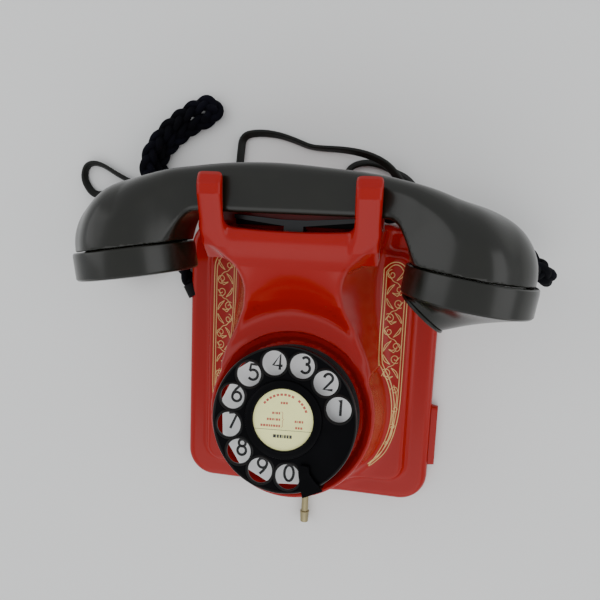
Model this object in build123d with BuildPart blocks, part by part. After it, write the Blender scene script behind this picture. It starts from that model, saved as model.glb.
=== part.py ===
from build123d import *
from math import copysign, cos, pi, radians, sin, tan
import os

# A wall telephone lying on its back. Millimetres.
# The origin is the middle of the back plate on the wall face, +Z points out of the front,
# +Y points up the wall towards the handset, and +X is to the right of somebody facing it.

# ---------------------------------------------------------------- driving dimensions
PLATE_W, PLATE_H, PLATE_R = 153.4, 166.0, 17.0  # outline of the cover and the wall behind it
RIM_Z = 10.0  # height of the cover's flat margin
PANEL_Z = 17.0  # height of the raised panel
PANEL_W, PANEL_R = 121.6, 9.0
PANEL_LOW, PANEL_HIGH = -67.7, 67.0  # lower and upper edge of the raised panel
WALL = 2.5  # thickness of the moulding
DRAFT = 3.0  # lean of the cover's edge
BACK_T = 1.5  # thickness of the steel back plate

DIAL_Y, DIAL_Z, DIAL_TILT = -16.3, 72.3, 8.6  # centre of the finger wheel's face, and its lean
WHEEL_R = 38.1  # half of a three inch finger wheel
HOLE_R, HOLE_PITCH_R, HOLE_STEP = 6.55, 29.4, 29.2
FIRST_HOLE = 15.7  # direction of hole "1", anticlockwise from +X
HOLES = 10
STOP_ANGLE = -62.0  # direction of the finger stop
RIDGE_R, RIDGE_DROP = 45.6, 16.5  # ridge round the dial, below the wheel's face
FOOT_R, FOOT_Y = 51.0, -25.0  # foot of the dial housing on the panel
WELL_R, WELL_DROP = 39.5, 21.5  # flat floor inside the ridge
CASE_R, CASE_TOP, CASE_BOTTOM = 30.5, -8.2, -47.0  # dial case, measured from the wheel's face
PLATE_DROP = 7.2  # number plate's face below the wheel's face

PRONG_X, PRONG_W = 38.2, 12.5  # middle and width of a cradle prong
CRADLE_Y = 82.0  # upper end of the neck

HANDLE_Z, HANDLE_DEPTH = 70.0, 22.0  # handle's middle plane and its thickness
EAR_SEAM = (-83.5, 68.6, 9.0)  # middle of the seam of a cup with its cap, and its lean outwards
MOUTH_SEAM = (87.7, 64.2, 8.0)
CAP_R, CAP_H = 31.2, 14.9
HORN_R = 12.7

LINE_D = 4.8  # flat line cord, by its width
PLAIT_D = 8.2  # plaited handset cord
COIL_X, COIL_Y, COIL_R = -122.0, 68.0, 24.0  # coil of the unused line cord, at its middle turn
COIL_WIDE, COIL_HIGH = 9.6, 12.0

GEAR_MODULE, GEAR_TEETH, PINION_TEETH = 0.8, 42, 12
GEAR_RUNNING = 0.15  # extra centre distance of the gear pair
SHAFT_R, ARBOR_R = 3.0, 1.5
RUNNING = 0.05  # radial clearance of a shaft in its bearing

DIAL = Plane(
    origin=(0, DIAL_Y, DIAL_Z),
    x_dir=(1, 0, 0),
    z_dir=(0, sin(radians(DIAL_TILT)), cos(radians(DIAL_TILT))),
)


def cup_plane(x, y, lean):
    """The seam of a cup, with its Z pointing into the handset."""
    outwards = copysign(sin(radians(lean)), x)
    return Plane(origin=(x, y, HANDLE_Z), x_dir=(0, 0, 1), z_dir=(outwards, cos(radians(lean)), 0))


EAR, MOUTH = cup_plane(*EAR_SEAM), cup_plane(*MOUTH_SEAM)


def gland_plane(place, direction):
    """A cord's way out: the plane whose Z is the cord's direction there."""
    return Plane(origin=place, z_dir=direction)


HANDSET_EXIT = gland_plane((111.5, 66.5, 50.0), (0.76, -0.10, -0.64))
PLAIT_ENTRY = gland_plane((-77.0, 40.0, 5.1), (-0.50, 0.87, 0))
LINE_EXIT = gland_plane((20.0, 82.0, 3.4), (0, 1, 0))


def save(node, label):
    """Label one finished piece and write it as its own file."""
    node.part.label = label
    export_step(node.part, f"parts/{label}.step")


os.makedirs("parts", exist_ok=True)

# ---------------------------------------------------------------- front cover

# Stations up the neck: y, half width at the panel, half width at the front, height of the front.
NECK = [
    (12.0, 46.0, 40.0, 57.0),
    (32.0, 44.0, 30.5, 62.0),
    (52.0, 43.0, 26.5, 68.5),
    (68.0, 43.5, 35.0, 75.0),
    (CRADLE_Y, 44.5, 44.4, 79.5),
]
HOOK_Z, HOOK_W, HOOK_T = 62.0, 10.0, 7.0  # stem of the hook bar, where it goes through the cradle
STUD_AT, STUD_R, STUD_START = (1.6, 3.9), 2.2, 79.5  # stud through the lower edge: x and z, and y
BOSSES = [(x, y) for x in (-66, 66) for y in (-70, 70)]
PANEL_MID = (PANEL_LOW + PANEL_HIGH) / 2


def neck(stations, inset):
    """The sections of the neck, shrunk all round by inset."""
    sections = []
    for y, foot, front, top in stations:
        with BuildSketch(Plane.XZ.offset(-min(y, CRADLE_Y - inset))) as section:
            with BuildLine():
                Polyline(
                    (-foot + inset, 8 - inset / 2),
                    (-foot + inset, PANEL_Z),
                    (-front + inset, top - inset - 5),
                    (-front + inset + 5, top - inset),
                    (front - inset - 5, top - inset),
                    (front - inset, top - inset - 5),
                    (foot - inset, PANEL_Z),
                    (foot - inset, 8 - inset / 2),
                    close=True,
                )
            make_face()
        sections.append(section.sketch)
    return sections


def dial_housing(inset):
    """The foot on the panel and the ridge round the dial, shrunk by inset."""
    with BuildSketch(Plane.XY.offset(8)) as foot:
        with Locations((0, FOOT_Y)):
            Circle(FOOT_R + 1 - inset)
    with BuildSketch(DIAL.offset(-RIDGE_DROP - inset)) as ridge:
        Circle(RIDGE_R - inset)
    return [foot.sketch, ridge.sketch]


with BuildPart() as front_cover:
    with BuildSketch():
        RectangleRounded(PLATE_W, PLATE_H, PLATE_R)
    extrude(amount=RIM_Z, taper=DRAFT)
    fillet(front_cover.faces().sort_by(Axis.Z)[-1].edges(), 4)
    with BuildSketch(Plane.XY.offset(RIM_Z - 1)):
        with Locations((0, PANEL_MID)):
            RectangleRounded(PANEL_W + 4, PANEL_HIGH - PANEL_LOW + 4, PANEL_R + 2)
    extrude(amount=PANEL_Z - RIM_Z + 1, taper=14)
    loft(dial_housing(0))
    loft(neck(NECK, 0))
    # cradle prongs in front of the handle, and the shelf behind it
    for side in (-1, 1):
        with BuildSketch(Plane.YZ.offset(side * PRONG_X - PRONG_W / 2)):
            with BuildLine():
                Polyline((66, 70), (72, 78.5), (84, 84.5), (96, 90.5), (104, 91))
                ThreePointArc((104, 91), (107.5, 88), (104, 85))
                Polyline((104, 85), (97, 84), (88, 82.2), (80, 74), (66, 70))
            make_face()
        extrude(amount=PRONG_W)
    with BuildSketch(Plane.XY.offset(50)):
        with Locations((0, 89)):
            RectangleRounded(2 * 44.4, 22, 4)
    extrude(amount=8.2)
    # the well that the dial sits in
    with BuildSketch(DIAL.offset(-RIDGE_DROP)):
        Circle(RIDGE_R - 1.6)
    extrude(amount=30, mode=Mode.SUBTRACT)
    with BuildSketch(DIAL.offset(-RIDGE_DROP)) as rim:
        Circle(RIDGE_R - 1.6)
    with BuildSketch(DIAL.offset(-WELL_DROP)) as floor:
        Circle(WELL_R)
    loft([rim.sketch, floor.sketch], mode=Mode.SUBTRACT)
    # hollow inside
    with BuildSketch(Plane.XY.offset(-1)):
        RectangleRounded(PLATE_W - 2 * WALL, PLATE_H - 2 * WALL, PLATE_R - WALL)
    extrude(amount=RIM_Z - WALL + 1, taper=DRAFT, mode=Mode.SUBTRACT)
    with BuildSketch(Plane.XY.offset(RIM_Z - WALL - 1)):
        with Locations((0, PANEL_MID)):
            RectangleRounded(PANEL_W - 2, PANEL_HIGH - PANEL_LOW - 2, PANEL_R)
    extrude(amount=PANEL_Z - RIM_Z + 1, taper=14, mode=Mode.SUBTRACT)
    loft(dial_housing(WALL + WELL_DROP - RIDGE_DROP), mode=Mode.SUBTRACT)
    loft(neck(NECK[1:], WALL), mode=Mode.SUBTRACT)
    # screw bosses, and the ways through for the dial case, the hook and the cords
    with BuildSketch(Plane.XY.offset(BACK_T)):
        with Locations(*BOSSES):
            Circle(4)
    extrude(amount=RIM_Z - WALL - BACK_T + 0.5)
    with BuildSketch(Plane.XY.offset(BACK_T)):
        with Locations(*BOSSES):
            Circle(1.5)
    extrude(amount=4.5, mode=Mode.SUBTRACT)
    with BuildSketch(DIAL.offset(-WELL_DROP - 6)):
        Circle(CASE_R + 0.5)
    extrude(amount=8, mode=Mode.SUBTRACT)
    with BuildSketch(Plane.XZ.offset(-CRADLE_Y - 1)):
        with Locations((0, HOOK_Z)):
            Rectangle(HOOK_W + 1, HOOK_T + 1)
    extrude(amount=6, mode=Mode.SUBTRACT)
    with BuildSketch(PLAIT_ENTRY.offset(-8)):
        Circle(5.0)
    extrude(amount=16, mode=Mode.SUBTRACT)
    with BuildSketch(LINE_EXIT.offset(-5)):
        Circle(3.2)
    extrude(amount=10, mode=Mode.SUBTRACT)
    with BuildSketch(Plane.XZ.offset(STUD_START - 1)):
        with Locations(STUD_AT):
            Circle(STUD_R + RUNNING)
    extrude(amount=6, mode=Mode.SUBTRACT)
save(front_cover, "front_cover")

# ---------------------------------------------------------------- back plate and its fixings

WALL_SCREWS_X, WALL_SCREWS_Y, WALL_SCREW_R = 100.0, 120.0, 2.25

with BuildPart() as back_plate:
    with BuildSketch():
        RectangleRounded(PLATE_W - 2 * WALL - 0.8, PLATE_H - 2 * WALL - 0.8, PLATE_R - WALL - 0.4)
        with GridLocations(WALL_SCREWS_X, WALL_SCREWS_Y, 2, 2):
            Circle(WALL_SCREW_R, mode=Mode.SUBTRACT)
        with Locations(*BOSSES):
            Circle(1.7, mode=Mode.SUBTRACT)
    extrude(amount=BACK_T)
    with BuildSketch(LINE_EXIT.offset(-6)):
        Circle(3.3)
    extrude(amount=8, mode=Mode.SUBTRACT)
    with BuildSketch(PLAIT_ENTRY.offset(-9)):
        Circle(5.1)
    extrude(amount=12, mode=Mode.SUBTRACT)
save(back_plate, "back_plate")

with BuildPart() as plate_screws:
    with BuildSketch(Plane.XY.offset(0.2)):
        with Locations(*BOSSES):
            Circle(1.45)
    extrude(amount=5.2)
    with BuildSketch(Plane.XY.offset(0.2)):
        with Locations(*BOSSES):
            Circle(1.6)
    extrude(amount=1.2)
save(plate_screws, "plate_screws")

COVER_SIDE = Plane(
    origin=(PLATE_W / 2, -41, 0),
    x_dir=(0, 1, 0),
    z_dir=(cos(radians(DRAFT)), 0, sin(radians(DRAFT))),
)

with BuildPart() as side_lug:
    with BuildSketch(COVER_SIDE):
        with Locations((0, 3.4)):
            RectangleRounded(38, 6, 2.4)
    extrude(amount=3.7, taper=10)
save(side_lug, "side_lug")

with BuildPart() as cover_stud:
    with BuildSketch(Plane.XZ.offset(STUD_START)):
        with Locations(STUD_AT):
            Circle(STUD_R)
    extrude(amount=PLATE_H / 2 + 18 - STUD_START)
    with BuildSketch(Plane.XZ.offset(PLATE_H / 2 + 18)):
        with Locations(STUD_AT):
            Circle(STUD_R + 0.7)
    extrude(amount=7, taper=3)
save(cover_stud, "cover_stud")

# ---------------------------------------------------------------- ringer

GONG_X, GONG_Y, GONG_R = 21.0, FOOT_Y, 19.0
PIVOT_Y, HAMMER_Y, HAMMER_R = 6.0, -17.0, 2.3
PIN_R = 1.2

for side, label in ((-1, "gong_left"), (1, "gong_right")):
    with BuildPart() as gong:
        with BuildSketch(Plane(origin=(side * GONG_X, GONG_Y, 0), x_dir=(1, 0, 0), z_dir=(0, -1, 0))):
            with BuildLine():
                Polyline((GONG_R, 5), (GONG_R - 1.2, 5), (GONG_R - 3, 11.5))
                ThreePointArc((GONG_R - 3, 11.5), (GONG_R - 8, 14.5), (2.3, 15.3))
                Line((2.3, 15.3), (2.3, 16.5))
                ThreePointArc((2.3, 16.5), (GONG_R - 7, 15.6), (GONG_R - 1.8, 12.2))
                Line((GONG_R - 1.8, 12.2), (GONG_R, 5))
            make_face()
        revolve(axis=Axis((side * GONG_X, GONG_Y, 0), (0, 0, 1)))
    save(gong, label)

with BuildPart() as gong_posts:
    with BuildSketch(Plane.XY.offset(BACK_T)):
        with Locations((-GONG_X, GONG_Y), (GONG_X, GONG_Y)):
            Circle(3.4)
    extrude(amount=13.3 - BACK_T + 1.6, taper=2)
    with BuildSketch(Plane.XY.offset(14.9)):
        with Locations((-GONG_X, GONG_Y), (GONG_X, GONG_Y)):
            Circle(2.1)
    extrude(amount=1.6)
save(gong_posts, "gong_posts")

with BuildPart() as gong_screws:
    with BuildSketch(Plane.XY.offset(16.9)):
        with Locations((-GONG_X, GONG_Y), (GONG_X, GONG_Y)):
            Circle(3.8)
    extrude(amount=1.4)
    with BuildSketch(Plane.XY.offset(17.6)):
        with Locations((-GONG_X, GONG_Y), (GONG_X, GONG_Y)):
            Rectangle(8, 0.9)
    extrude(amount=1, mode=Mode.SUBTRACT)
save(gong_screws, "gong_screws")

with BuildPart() as ringer_frame:
    with BuildSketch(Plane.XY.offset(BACK_T)):
        with Locations((0, 20)):
            Rectangle(34, 36)
    extrude(amount=1.5)
    with BuildSketch(Plane.XZ.offset(-33)):
        with Locations((0, 8)):
            Rectangle(30, 11)
    extrude(amount=-2)
    with BuildSketch(Plane.XY.offset(BACK_T)):
        with Locations((0, PIVOT_Y)):
            Circle(PIN_R)
    extrude(amount=12)
save(ringer_frame, "ringer_frame")

with BuildPart() as ringer_coils:
    with BuildSketch(Plane.XZ.offset(-11)):
        with Locations((-8.5, 8.6), (8.5, 8.6)):
            Circle(5.2)
    extrude(amount=-22)
    with BuildSketch(Plane.XZ.offset(-9.6)):
        with Locations((-8.5, 8.6), (8.5, 8.6)):
            Circle(2.4)
    extrude(amount=-1.5)
save(ringer_coils, "ringer_coils")

with BuildPart() as clapper:
    with BuildSketch(Plane.XY.offset(5.6)):
        with Locations((0, PIVOT_Y)):
            Rectangle(25, 3)
            Circle(3)
    extrude(amount=6)
    with BuildSketch(Plane.XY.offset(7.4)):
        with Locations((0, (PIVOT_Y + HAMMER_Y) / 2)):
            Rectangle(2, PIVOT_Y - HAMMER_Y)
    extrude(amount=1.6)
    with BuildSketch(Plane.XY.offset(6.2)):
        with Locations((0, HAMMER_Y)):
            Circle(HAMMER_R)
    extrude(amount=4)
    with BuildSketch(Plane.XY.offset(5)):
        with Locations((0, PIVOT_Y)):
            Circle(PIN_R + RUNNING)
    extrude(amount=8, mode=Mode.SUBTRACT)
save(clapper, "clapper")

# ---------------------------------------------------------------- circuit, in the neck

with BuildPart() as terminal_block:
    with BuildSketch(Plane.XY.offset(BACK_T)):
        with Locations((0, 62)):
            RectangleRounded(56, 18, 2)
    extrude(amount=9)
    with BuildSketch(Plane.XY.offset(BACK_T + 5)):
        with Locations((0, 62)):
            with GridLocations(9, 0, 6, 1):
                Circle(1.6)
    extrude(amount=5, mode=Mode.SUBTRACT)
save(terminal_block, "terminal_block")

with BuildPart() as terminal_screws:
    with BuildSketch(Plane.XY.offset(BACK_T + 5)):
        with Locations((0, 62)):
            with GridLocations(9, 0, 6, 1):
                Circle(1.5)
    extrude(amount=4.1)
    with BuildSketch(Plane.XY.offset(BACK_T + 9.05)):
        with Locations((0, 62)):
            with GridLocations(9, 0, 6, 1):
                Circle(2.9)
    extrude(amount=1.4)
save(terminal_screws, "terminal_screws")

with BuildPart() as induction_coil:
    with BuildSketch(Plane.YZ.offset(-15)):
        with Locations((58, 27)):
            Circle(8)
    extrude(amount=30)
    with BuildSketch(Plane.YZ.offset(-17)):
        with Locations((58, 27)):
            RectangleRounded(19, 19, 2)
    extrude(amount=2)
    with BuildSketch(Plane.YZ.offset(15)):
        with Locations((58, 27)):
            RectangleRounded(19, 19, 2)
    extrude(amount=2)
save(induction_coil, "induction_coil")

with BuildPart() as capacitor:
    with BuildSketch(Plane.XY.offset(BACK_T)):
        with Locations((40, 20)):
            RectangleRounded(18, 30, 2)
    extrude(amount=11)
save(capacitor, "capacitor")

# ---------------------------------------------------------------- hook switch

with BuildPart() as hook_bar:
    with BuildSketch(Plane.XZ.offset(-64)):
        with Locations((0, HOOK_Z)):
            Rectangle(HOOK_W, HOOK_T)
    extrude(amount=-20.5)
    with BuildSketch(Plane.XY.offset(HOOK_Z - 3.5)):
        with BuildLine():
            Polyline(
                (-31, 87.4), (-31, 85.4), (-6, 82.6), (6, 82.6), (31, 85.4), (31, 87.4),
                (6, 85.6), (-6, 85.6), close=True,
            )
        make_face()
    extrude(amount=7)
save(hook_bar, "hook_bar")

with BuildPart() as hook_bracket:
    with BuildSketch(Plane.XZ.offset(-68)):
        with Locations((0, HOOK_Z - 3)):
            Rectangle(26, 22)
        with Locations((0, HOOK_Z)):
            Rectangle(HOOK_W + 0.2, HOOK_T + 0.2, mode=Mode.SUBTRACT)
    extrude(amount=-2)
    with BuildSketch(Plane.XZ.offset(-54)):
        with Locations((0, HOOK_Z - 13)):
            Rectangle(26, 2)
    extrude(amount=-16)
    with BuildSketch(Plane.XZ.offset(-54)):
        with Locations((0, HOOK_Z - 6.9)):
            Rectangle(26, 14.2)
    extrude(amount=-2)
save(hook_bracket, "hook_bracket")

SPRING_R, SPRING_WIRE = 2.3, 0.45
with BuildPart() as hook_spring:
    with BuildLine():
        coil_line = Helix(pitch=1.4, height=6.8, radius=SPRING_R, center=(0, 56.6, HOOK_Z - 1.3), direction=(0, 1, 0))
    with BuildSketch(Plane(origin=coil_line @ 0, z_dir=coil_line % 0)):
        Circle(SPRING_WIRE)
    sweep(path=coil_line, is_frenet=True)
save(hook_spring, "hook_spring")

with BuildPart() as hook_contacts:
    with BuildSketch(Plane.XZ.offset(-58)):
        with Locations(*((10.0 + 2.2 * k, HOOK_Z - 5) for k in range(3))):
            Rectangle(0.5, 9)
    extrude(amount=-9)
    with BuildSketch(Plane.XZ.offset(-57)):
        with Locations((12.2, HOOK_Z - 5)):
            Rectangle(7, 10)
    extrude(amount=-4)
save(hook_contacts, "hook_contacts")

# ---------------------------------------------------------------- dial, fixed parts

GOVERNOR_Y = GEAR_MODULE * (GEAR_TEETH + PINION_TEETH) / 2 + GEAR_RUNNING
FRONT_PLATE, REAR_PLATE = -12.5, -40.0  # undersides of the two bearing plates
GEAR_AT, PINION_AT = -16.0, -17.0

with BuildPart() as dial_case:
    with BuildSketch(DIAL.offset(CASE_BOTTOM)):
        Circle(CASE_R)
    extrude(amount=CASE_TOP - CASE_BOTTOM)
    with BuildSketch(DIAL.offset(CASE_BOTTOM + WALL)):
        Circle(CASE_R - 1.5)
    extrude(amount=60, mode=Mode.SUBTRACT)
    with BuildSketch(DIAL.offset(-WELL_DROP + 0.1)):
        Circle(37.5)
        Circle(CASE_R - 1, mode=Mode.SUBTRACT)
    extrude(amount=1.5)
save(dial_case, "dial_case")

NUMBER_SIDES, NUMBER_APOTHEM = 12, 35.0
with BuildPart() as number_plate:
    with BuildSketch(DIAL.offset(-PLATE_DROP - 1)):
        RegularPolygon(NUMBER_APOTHEM, NUMBER_SIDES, major_radius=False)
        Circle(9, mode=Mode.SUBTRACT)
    extrude(amount=1)
save(number_plate, "number_plate")


def along_stop(*points):
    """Points given as (distance from the dial's axis, distance across), turned to the finger stop."""
    turn = radians(STOP_ANGLE)
    return [(r * cos(turn) - w * sin(turn), r * sin(turn) + w * cos(turn)) for r, w in points]


with BuildPart() as finger_stop:
    with BuildSketch(DIAL.offset(1.5)):
        with BuildLine():
            Polyline(*along_stop((24.2, -0.5), (27, -2.8), (32.5, -4.6), (37, -5.6), (39.8, -6.2), (40.4, 4.8)))
            Polyline(*along_stop((40.4, 4.8), (38.3, 4.5), (34.1, 2.9), (30, 2.2), (26.6, 3.2), (24.2, -0.5)))
        make_face()
    extrude(amount=1.3)
    with BuildSketch(DIAL.offset(-16)):
        with BuildLine():
            Polyline(*along_stop((38.6, -5), (38.6, 4), (40.2, 4), (40.2, -5)), close=True)
        make_face()
    extrude(amount=18)
    with BuildSketch(DIAL.offset(-16)):
        with BuildLine():
            Polyline(*along_stop((30.5, -5), (30.5, 4), (40, 4), (40, -5)), close=True)
        make_face()
    extrude(amount=1.3)
save(finger_stop, "finger_stop")

with BuildPart() as dial_front_plate:
    with BuildSketch(DIAL.offset(FRONT_PLATE)):
        Circle(CASE_R - 1.7)
        Circle(SHAFT_R + RUNNING, mode=Mode.SUBTRACT)
        with Locations((0, GOVERNOR_Y)):
            Circle(ARBOR_R + RUNNING, mode=Mode.SUBTRACT)
    extrude(amount=1.5)
save(dial_front_plate, "dial_front_plate")

with BuildPart() as dial_rear_plate:
    with BuildSketch(DIAL.offset(REAR_PLATE)):
        Circle(CASE_R - 1.7)
        Circle(SHAFT_R + RUNNING, mode=Mode.SUBTRACT)
        with Locations((0, GOVERNOR_Y)):
            Circle(ARBOR_R + RUNNING, mode=Mode.SUBTRACT)
    extrude(amount=1.5)
save(dial_rear_plate, "dial_rear_plate")

with BuildPart() as dial_pillars:
    with BuildSketch(DIAL.offset(REAR_PLATE + 1.5)):
        with PolarLocations(26, 3, start_angle=30):
            Circle(2)
    extrude(amount=FRONT_PLATE - REAR_PLATE - 1.5)
save(dial_pillars, "dial_pillars")

with BuildPart() as mainspring:
    with BuildSketch(DIAL.offset(-33)):
        for turn in range(5):
            Circle(5.4 + 1.6 * turn)
            Circle(4.6 + 1.6 * turn, mode=Mode.SUBTRACT)
        with Locations((8, 0)):
            Rectangle(8, 1.2)
    extrude(amount=6)
save(mainspring, "mainspring")

with BuildPart() as governor_cup:
    with BuildSketch(DIAL.offset(REAR_PLATE + 1.5)):
        with Locations((0, GOVERNOR_Y)):
            Circle(6.3)
            Circle(5.3, mode=Mode.SUBTRACT)
    extrude(amount=11)
save(governor_cup, "governor_cup")

CAM_R = 9.0
with BuildPart() as impulse_contacts:
    with BuildSketch(DIAL.offset(-25)):
        with Locations((-4, -CAM_R - 1.2), (-4, -CAM_R - 3.0), (-4, -CAM_R - 4.8)):
            Rectangle(22, 0.5)
    extrude(amount=4)
    with BuildSketch(DIAL.offset(-26)):
        with Locations((-16, -CAM_R - 3)):
            Rectangle(6, 7)
    extrude(amount=6)
save(impulse_contacts, "impulse_contacts")

# ---------------------------------------------------------------- dial, turning parts


def gear_outline(teeth, module, y=0.0):
    """Corners of a gear with straight flanks, its teeth a little narrower than its gaps."""
    pitch_r = teeth * module / 2
    tip, root = pitch_r + 0.80 * module, pitch_r - 1.10 * module
    half = 0.20 * 2 * pi / teeth
    flank = tan(radians(20))
    half_tip = half - flank * (tip - pitch_r) / pitch_r
    half_root = half + flank * (pitch_r - root) / pitch_r
    corners = []
    for k in range(teeth):
        middle = 2 * pi * k / teeth
        for r, a in ((root, -half_root), (tip, -half_tip), (tip, half_tip), (root, half_root)):
            corners.append((r * cos(middle + a), y + r * sin(middle + a)))
    return corners


with BuildPart() as finger_wheel:
    with BuildSketch(DIAL.offset(-1.2)):
        Circle(WHEEL_R)
    extrude(amount=1.2)
    with BuildSketch(DIAL.offset(-2.6)):
        Circle(WHEEL_R)
        Circle(WHEEL_R - 1.2, mode=Mode.SUBTRACT)
    extrude(amount=3.2)
    with BuildSketch(DIAL):
        with PolarLocations(HOLE_PITCH_R, HOLES, start_angle=FIRST_HOLE, angular_range=HOLE_STEP * HOLES):
            Circle(HOLE_R + 1.0)
    extrude(amount=0.5)
    with BuildSketch(DIAL.offset(-2)):
        with PolarLocations(HOLE_PITCH_R, HOLES, start_angle=FIRST_HOLE, angular_range=HOLE_STEP * HOLES):
            Circle(HOLE_R)
    extrude(amount=4, mode=Mode.SUBTRACT)
save(finger_wheel, "finger_wheel")

CARD_R, RING_R = 15.8, 20.0
with BuildPart() as label_card:
    with BuildSketch(DIAL):
        Circle(CARD_R)
    extrude(amount=0.4)
save(label_card, "label_card")

with BuildPart() as label_window:
    with BuildSketch(DIAL.offset(0.4)):
        Circle(CARD_R)
    extrude(amount=0.8)
save(label_window, "label_window")

with BuildPart() as label_ring:
    with BuildSketch(DIAL):
        Circle(RING_R)
        Circle(CARD_R, mode=Mode.SUBTRACT)
    extrude(amount=1.8)
    fillet(label_ring.faces().sort_by(Axis.Z)[-1].edges(), 0.6)
save(label_ring, "label_ring")

with BuildPart() as dial_shaft:
    with BuildSketch(DIAL.offset(-43)):
        Circle(SHAFT_R)
    extrude(amount=43 - 1.2)
save(dial_shaft, "dial_shaft")

with BuildPart() as main_gear:
    with BuildSketch(DIAL.offset(GEAR_AT)):
        with BuildLine():
            Polyline(*gear_outline(GEAR_TEETH, GEAR_MODULE), close=True)
        make_face()
        Circle(SHAFT_R, mode=Mode.SUBTRACT)
    extrude(amount=2)
save(main_gear, "main_gear")

with BuildPart() as impulse_cam:
    with BuildSketch(DIAL.offset(-25)):
        Circle(CAM_R)
        with PolarLocations(CAM_R, 10, angular_range=270):
            Rectangle(3, 2.2, mode=Mode.SUBTRACT)
        Circle(SHAFT_R, mode=Mode.SUBTRACT)
    extrude(amount=3)
save(impulse_cam, "impulse_cam")

with BuildPart() as governor_spindle:
    with BuildSketch(DIAL.offset(REAR_PLATE - 1)):
        with Locations((0, GOVERNOR_Y)):
            Circle(ARBOR_R)
    extrude(amount=FRONT_PLATE - REAR_PLATE + 3)
    with BuildSketch(DIAL.offset(PINION_AT)):
        with BuildLine():
            Polyline(*gear_outline(PINION_TEETH, GEAR_MODULE, GOVERNOR_Y), close=True)
        make_face()
    extrude(amount=4)
save(governor_spindle, "governor_spindle")

with BuildPart() as governor_weights:
    with BuildSketch(DIAL.offset(-36)):
        with Locations((0, GOVERNOR_Y)):
            Circle(4.6)
            Circle(ARBOR_R, mode=Mode.SUBTRACT)
            Rectangle(12, 1.2, mode=Mode.SUBTRACT)
    extrude(amount=7)
save(governor_weights, "governor_weights")

# ---------------------------------------------------------------- handset


def cup_profile_plane(cup):
    """A plane through a cup's axis, its local Y along that axis."""
    return Plane(origin=cup.origin, x_dir=cup.x_dir, z_dir=-cup.y_dir)


HANDLE_OVER = [(-80, 101), (-67, 107), (-48, 110.4), (-12, 113), (18, 111.2), (51, 107), (80, 98)]
HANDLE_UNDER = [(80, 72), (66, 72), (52, 84), (44, 88), (-40, 88.6), (-50, 84), (-62, 76), (-80, 76)]
CUP_SIDE = [(29.8, 0), (29.2, 4), (26.2, 12.5), (21.5, 20), (13, 26.3), (5, 29.4), (0, 30)]
CAVITY_R = 25.5

with BuildPart() as handset_shell:
    with BuildSketch(Plane.XY.offset(HANDLE_Z)):
        with BuildLine():
            over = Spline(*HANDLE_OVER)
            Polyline(over @ 1, *HANDLE_UNDER, over @ 0)
        make_face()
    extrude(amount=HANDLE_DEPTH / 2, both=True)
    chamfer(handset_shell.faces().filter_by(Axis.Z).edges(), 3)
    for cup in (EAR, MOUTH):
        with BuildSketch(cup_profile_plane(cup)):
            with BuildLine():
                Polyline(*CUP_SIDE, (0, 0), close=True)
            make_face()
        revolve(axis=Axis(cup.origin, cup.z_dir))
    for cup in (EAR, MOUTH):
        with BuildSketch(cup.offset(-1)):
            Circle(CAVITY_R)
        extrude(amount=9, mode=Mode.SUBTRACT)
    with BuildSketch(HANDSET_EXIT.offset(-6)):
        Circle(5.0)
    extrude(amount=16, mode=Mode.SUBTRACT)
save(handset_shell, "handset_shell")


def cap_body(cup):
    """The round cap screwed on a cup."""
    with BuildPart() as cap:
        with BuildSketch(cup_profile_plane(cup)):
            with BuildLine():
                Polyline(
                    (0, -CAP_H), (28.5, -CAP_H), (30.6, -CAP_H + 1.4), (CAP_R, -CAP_H + 5), (CAP_R, -0.2),
                    (28, -0.2), (28, -CAP_H + 2.5), (0, -CAP_H + 2.5), close=True,
                )
            make_face()
        revolve(axis=Axis(cup.origin, cup.z_dir))
    return cap.part


with BuildPart() as ear_cap:
    add(cap_body(EAR))
    with BuildSketch(EAR.offset(-CAP_H - 1)):
        Circle(1.6)
        with PolarLocations(7, 6):
            Circle(1.6)
    extrude(amount=5, mode=Mode.SUBTRACT)
save(ear_cap, "ear_cap")

HORN = Plane(origin=(66.5, 44.8, HANDLE_Z), x_dir=(0, 0, 1), z_dir=(-0.66, -0.75, 0))
with BuildPart() as mouth_cap:
    add(cap_body(MOUTH))
    with BuildSketch(MOUTH.offset(-CAP_H + 0.5)) as root:
        Circle(29)
    with BuildSketch(HORN) as mouth:
        Circle(HORN_R)
    loft([root.sketch, mouth.sketch])
    with BuildSketch(MOUTH.offset(-CAP_H)) as throat:
        Circle(26.5)
    with BuildSketch(HORN.offset(0.5)) as lip:
        Circle(HORN_R - 2)
    loft([throat.sketch, lip.sketch], mode=Mode.SUBTRACT)
    with BuildSketch(MOUTH.offset(-CAP_H - 1)):
        with PolarLocations(8, 8):
            Circle(1.6)
        with PolarLocations(15, 12):
            Circle(1.6)
    extrude(amount=5, mode=Mode.SUBTRACT)
save(mouth_cap, "mouth_cap")

for cup, label in ((EAR, "receiver_capsule"), (MOUTH, "transmitter_capsule")):
    with BuildPart() as capsule:
        with BuildSketch(cup.offset(-CAP_H + 3)):
            Circle(CAVITY_R - 0.4)
        extrude(amount=CAP_H - 2.5)
        fillet(capsule.edges().filter_by(GeomType.CIRCLE), 1.5)
    save(capsule, label)

with BuildPart() as handset_terminals:
    with BuildSketch(MOUTH.offset(0.8)):
        with Locations((0, -9), (0, 9)):
            Circle(2.2)
    extrude(amount=5)
save(handset_terminals, "handset_terminals")

with BuildPart() as handset_gland:
    with BuildSketch(HANDSET_EXIT.offset(-4.5)):
        Circle(4.9)
    extrude(amount=12.5, taper=1)
save(handset_gland, "handset_gland")

# ---------------------------------------------------------------- cords

with BuildPart() as plait_gland:
    with BuildSketch(PLAIT_ENTRY.offset(-6)):
        Circle(4.9)
    extrude(amount=8, taper=1)
save(plait_gland, "plait_gland")

with BuildPart() as line_gland:
    with BuildSketch(LINE_EXIT.offset(-4)):
        Circle(3.1)
    extrude(amount=9, taper=2)
save(line_gland, "line_gland")


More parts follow.
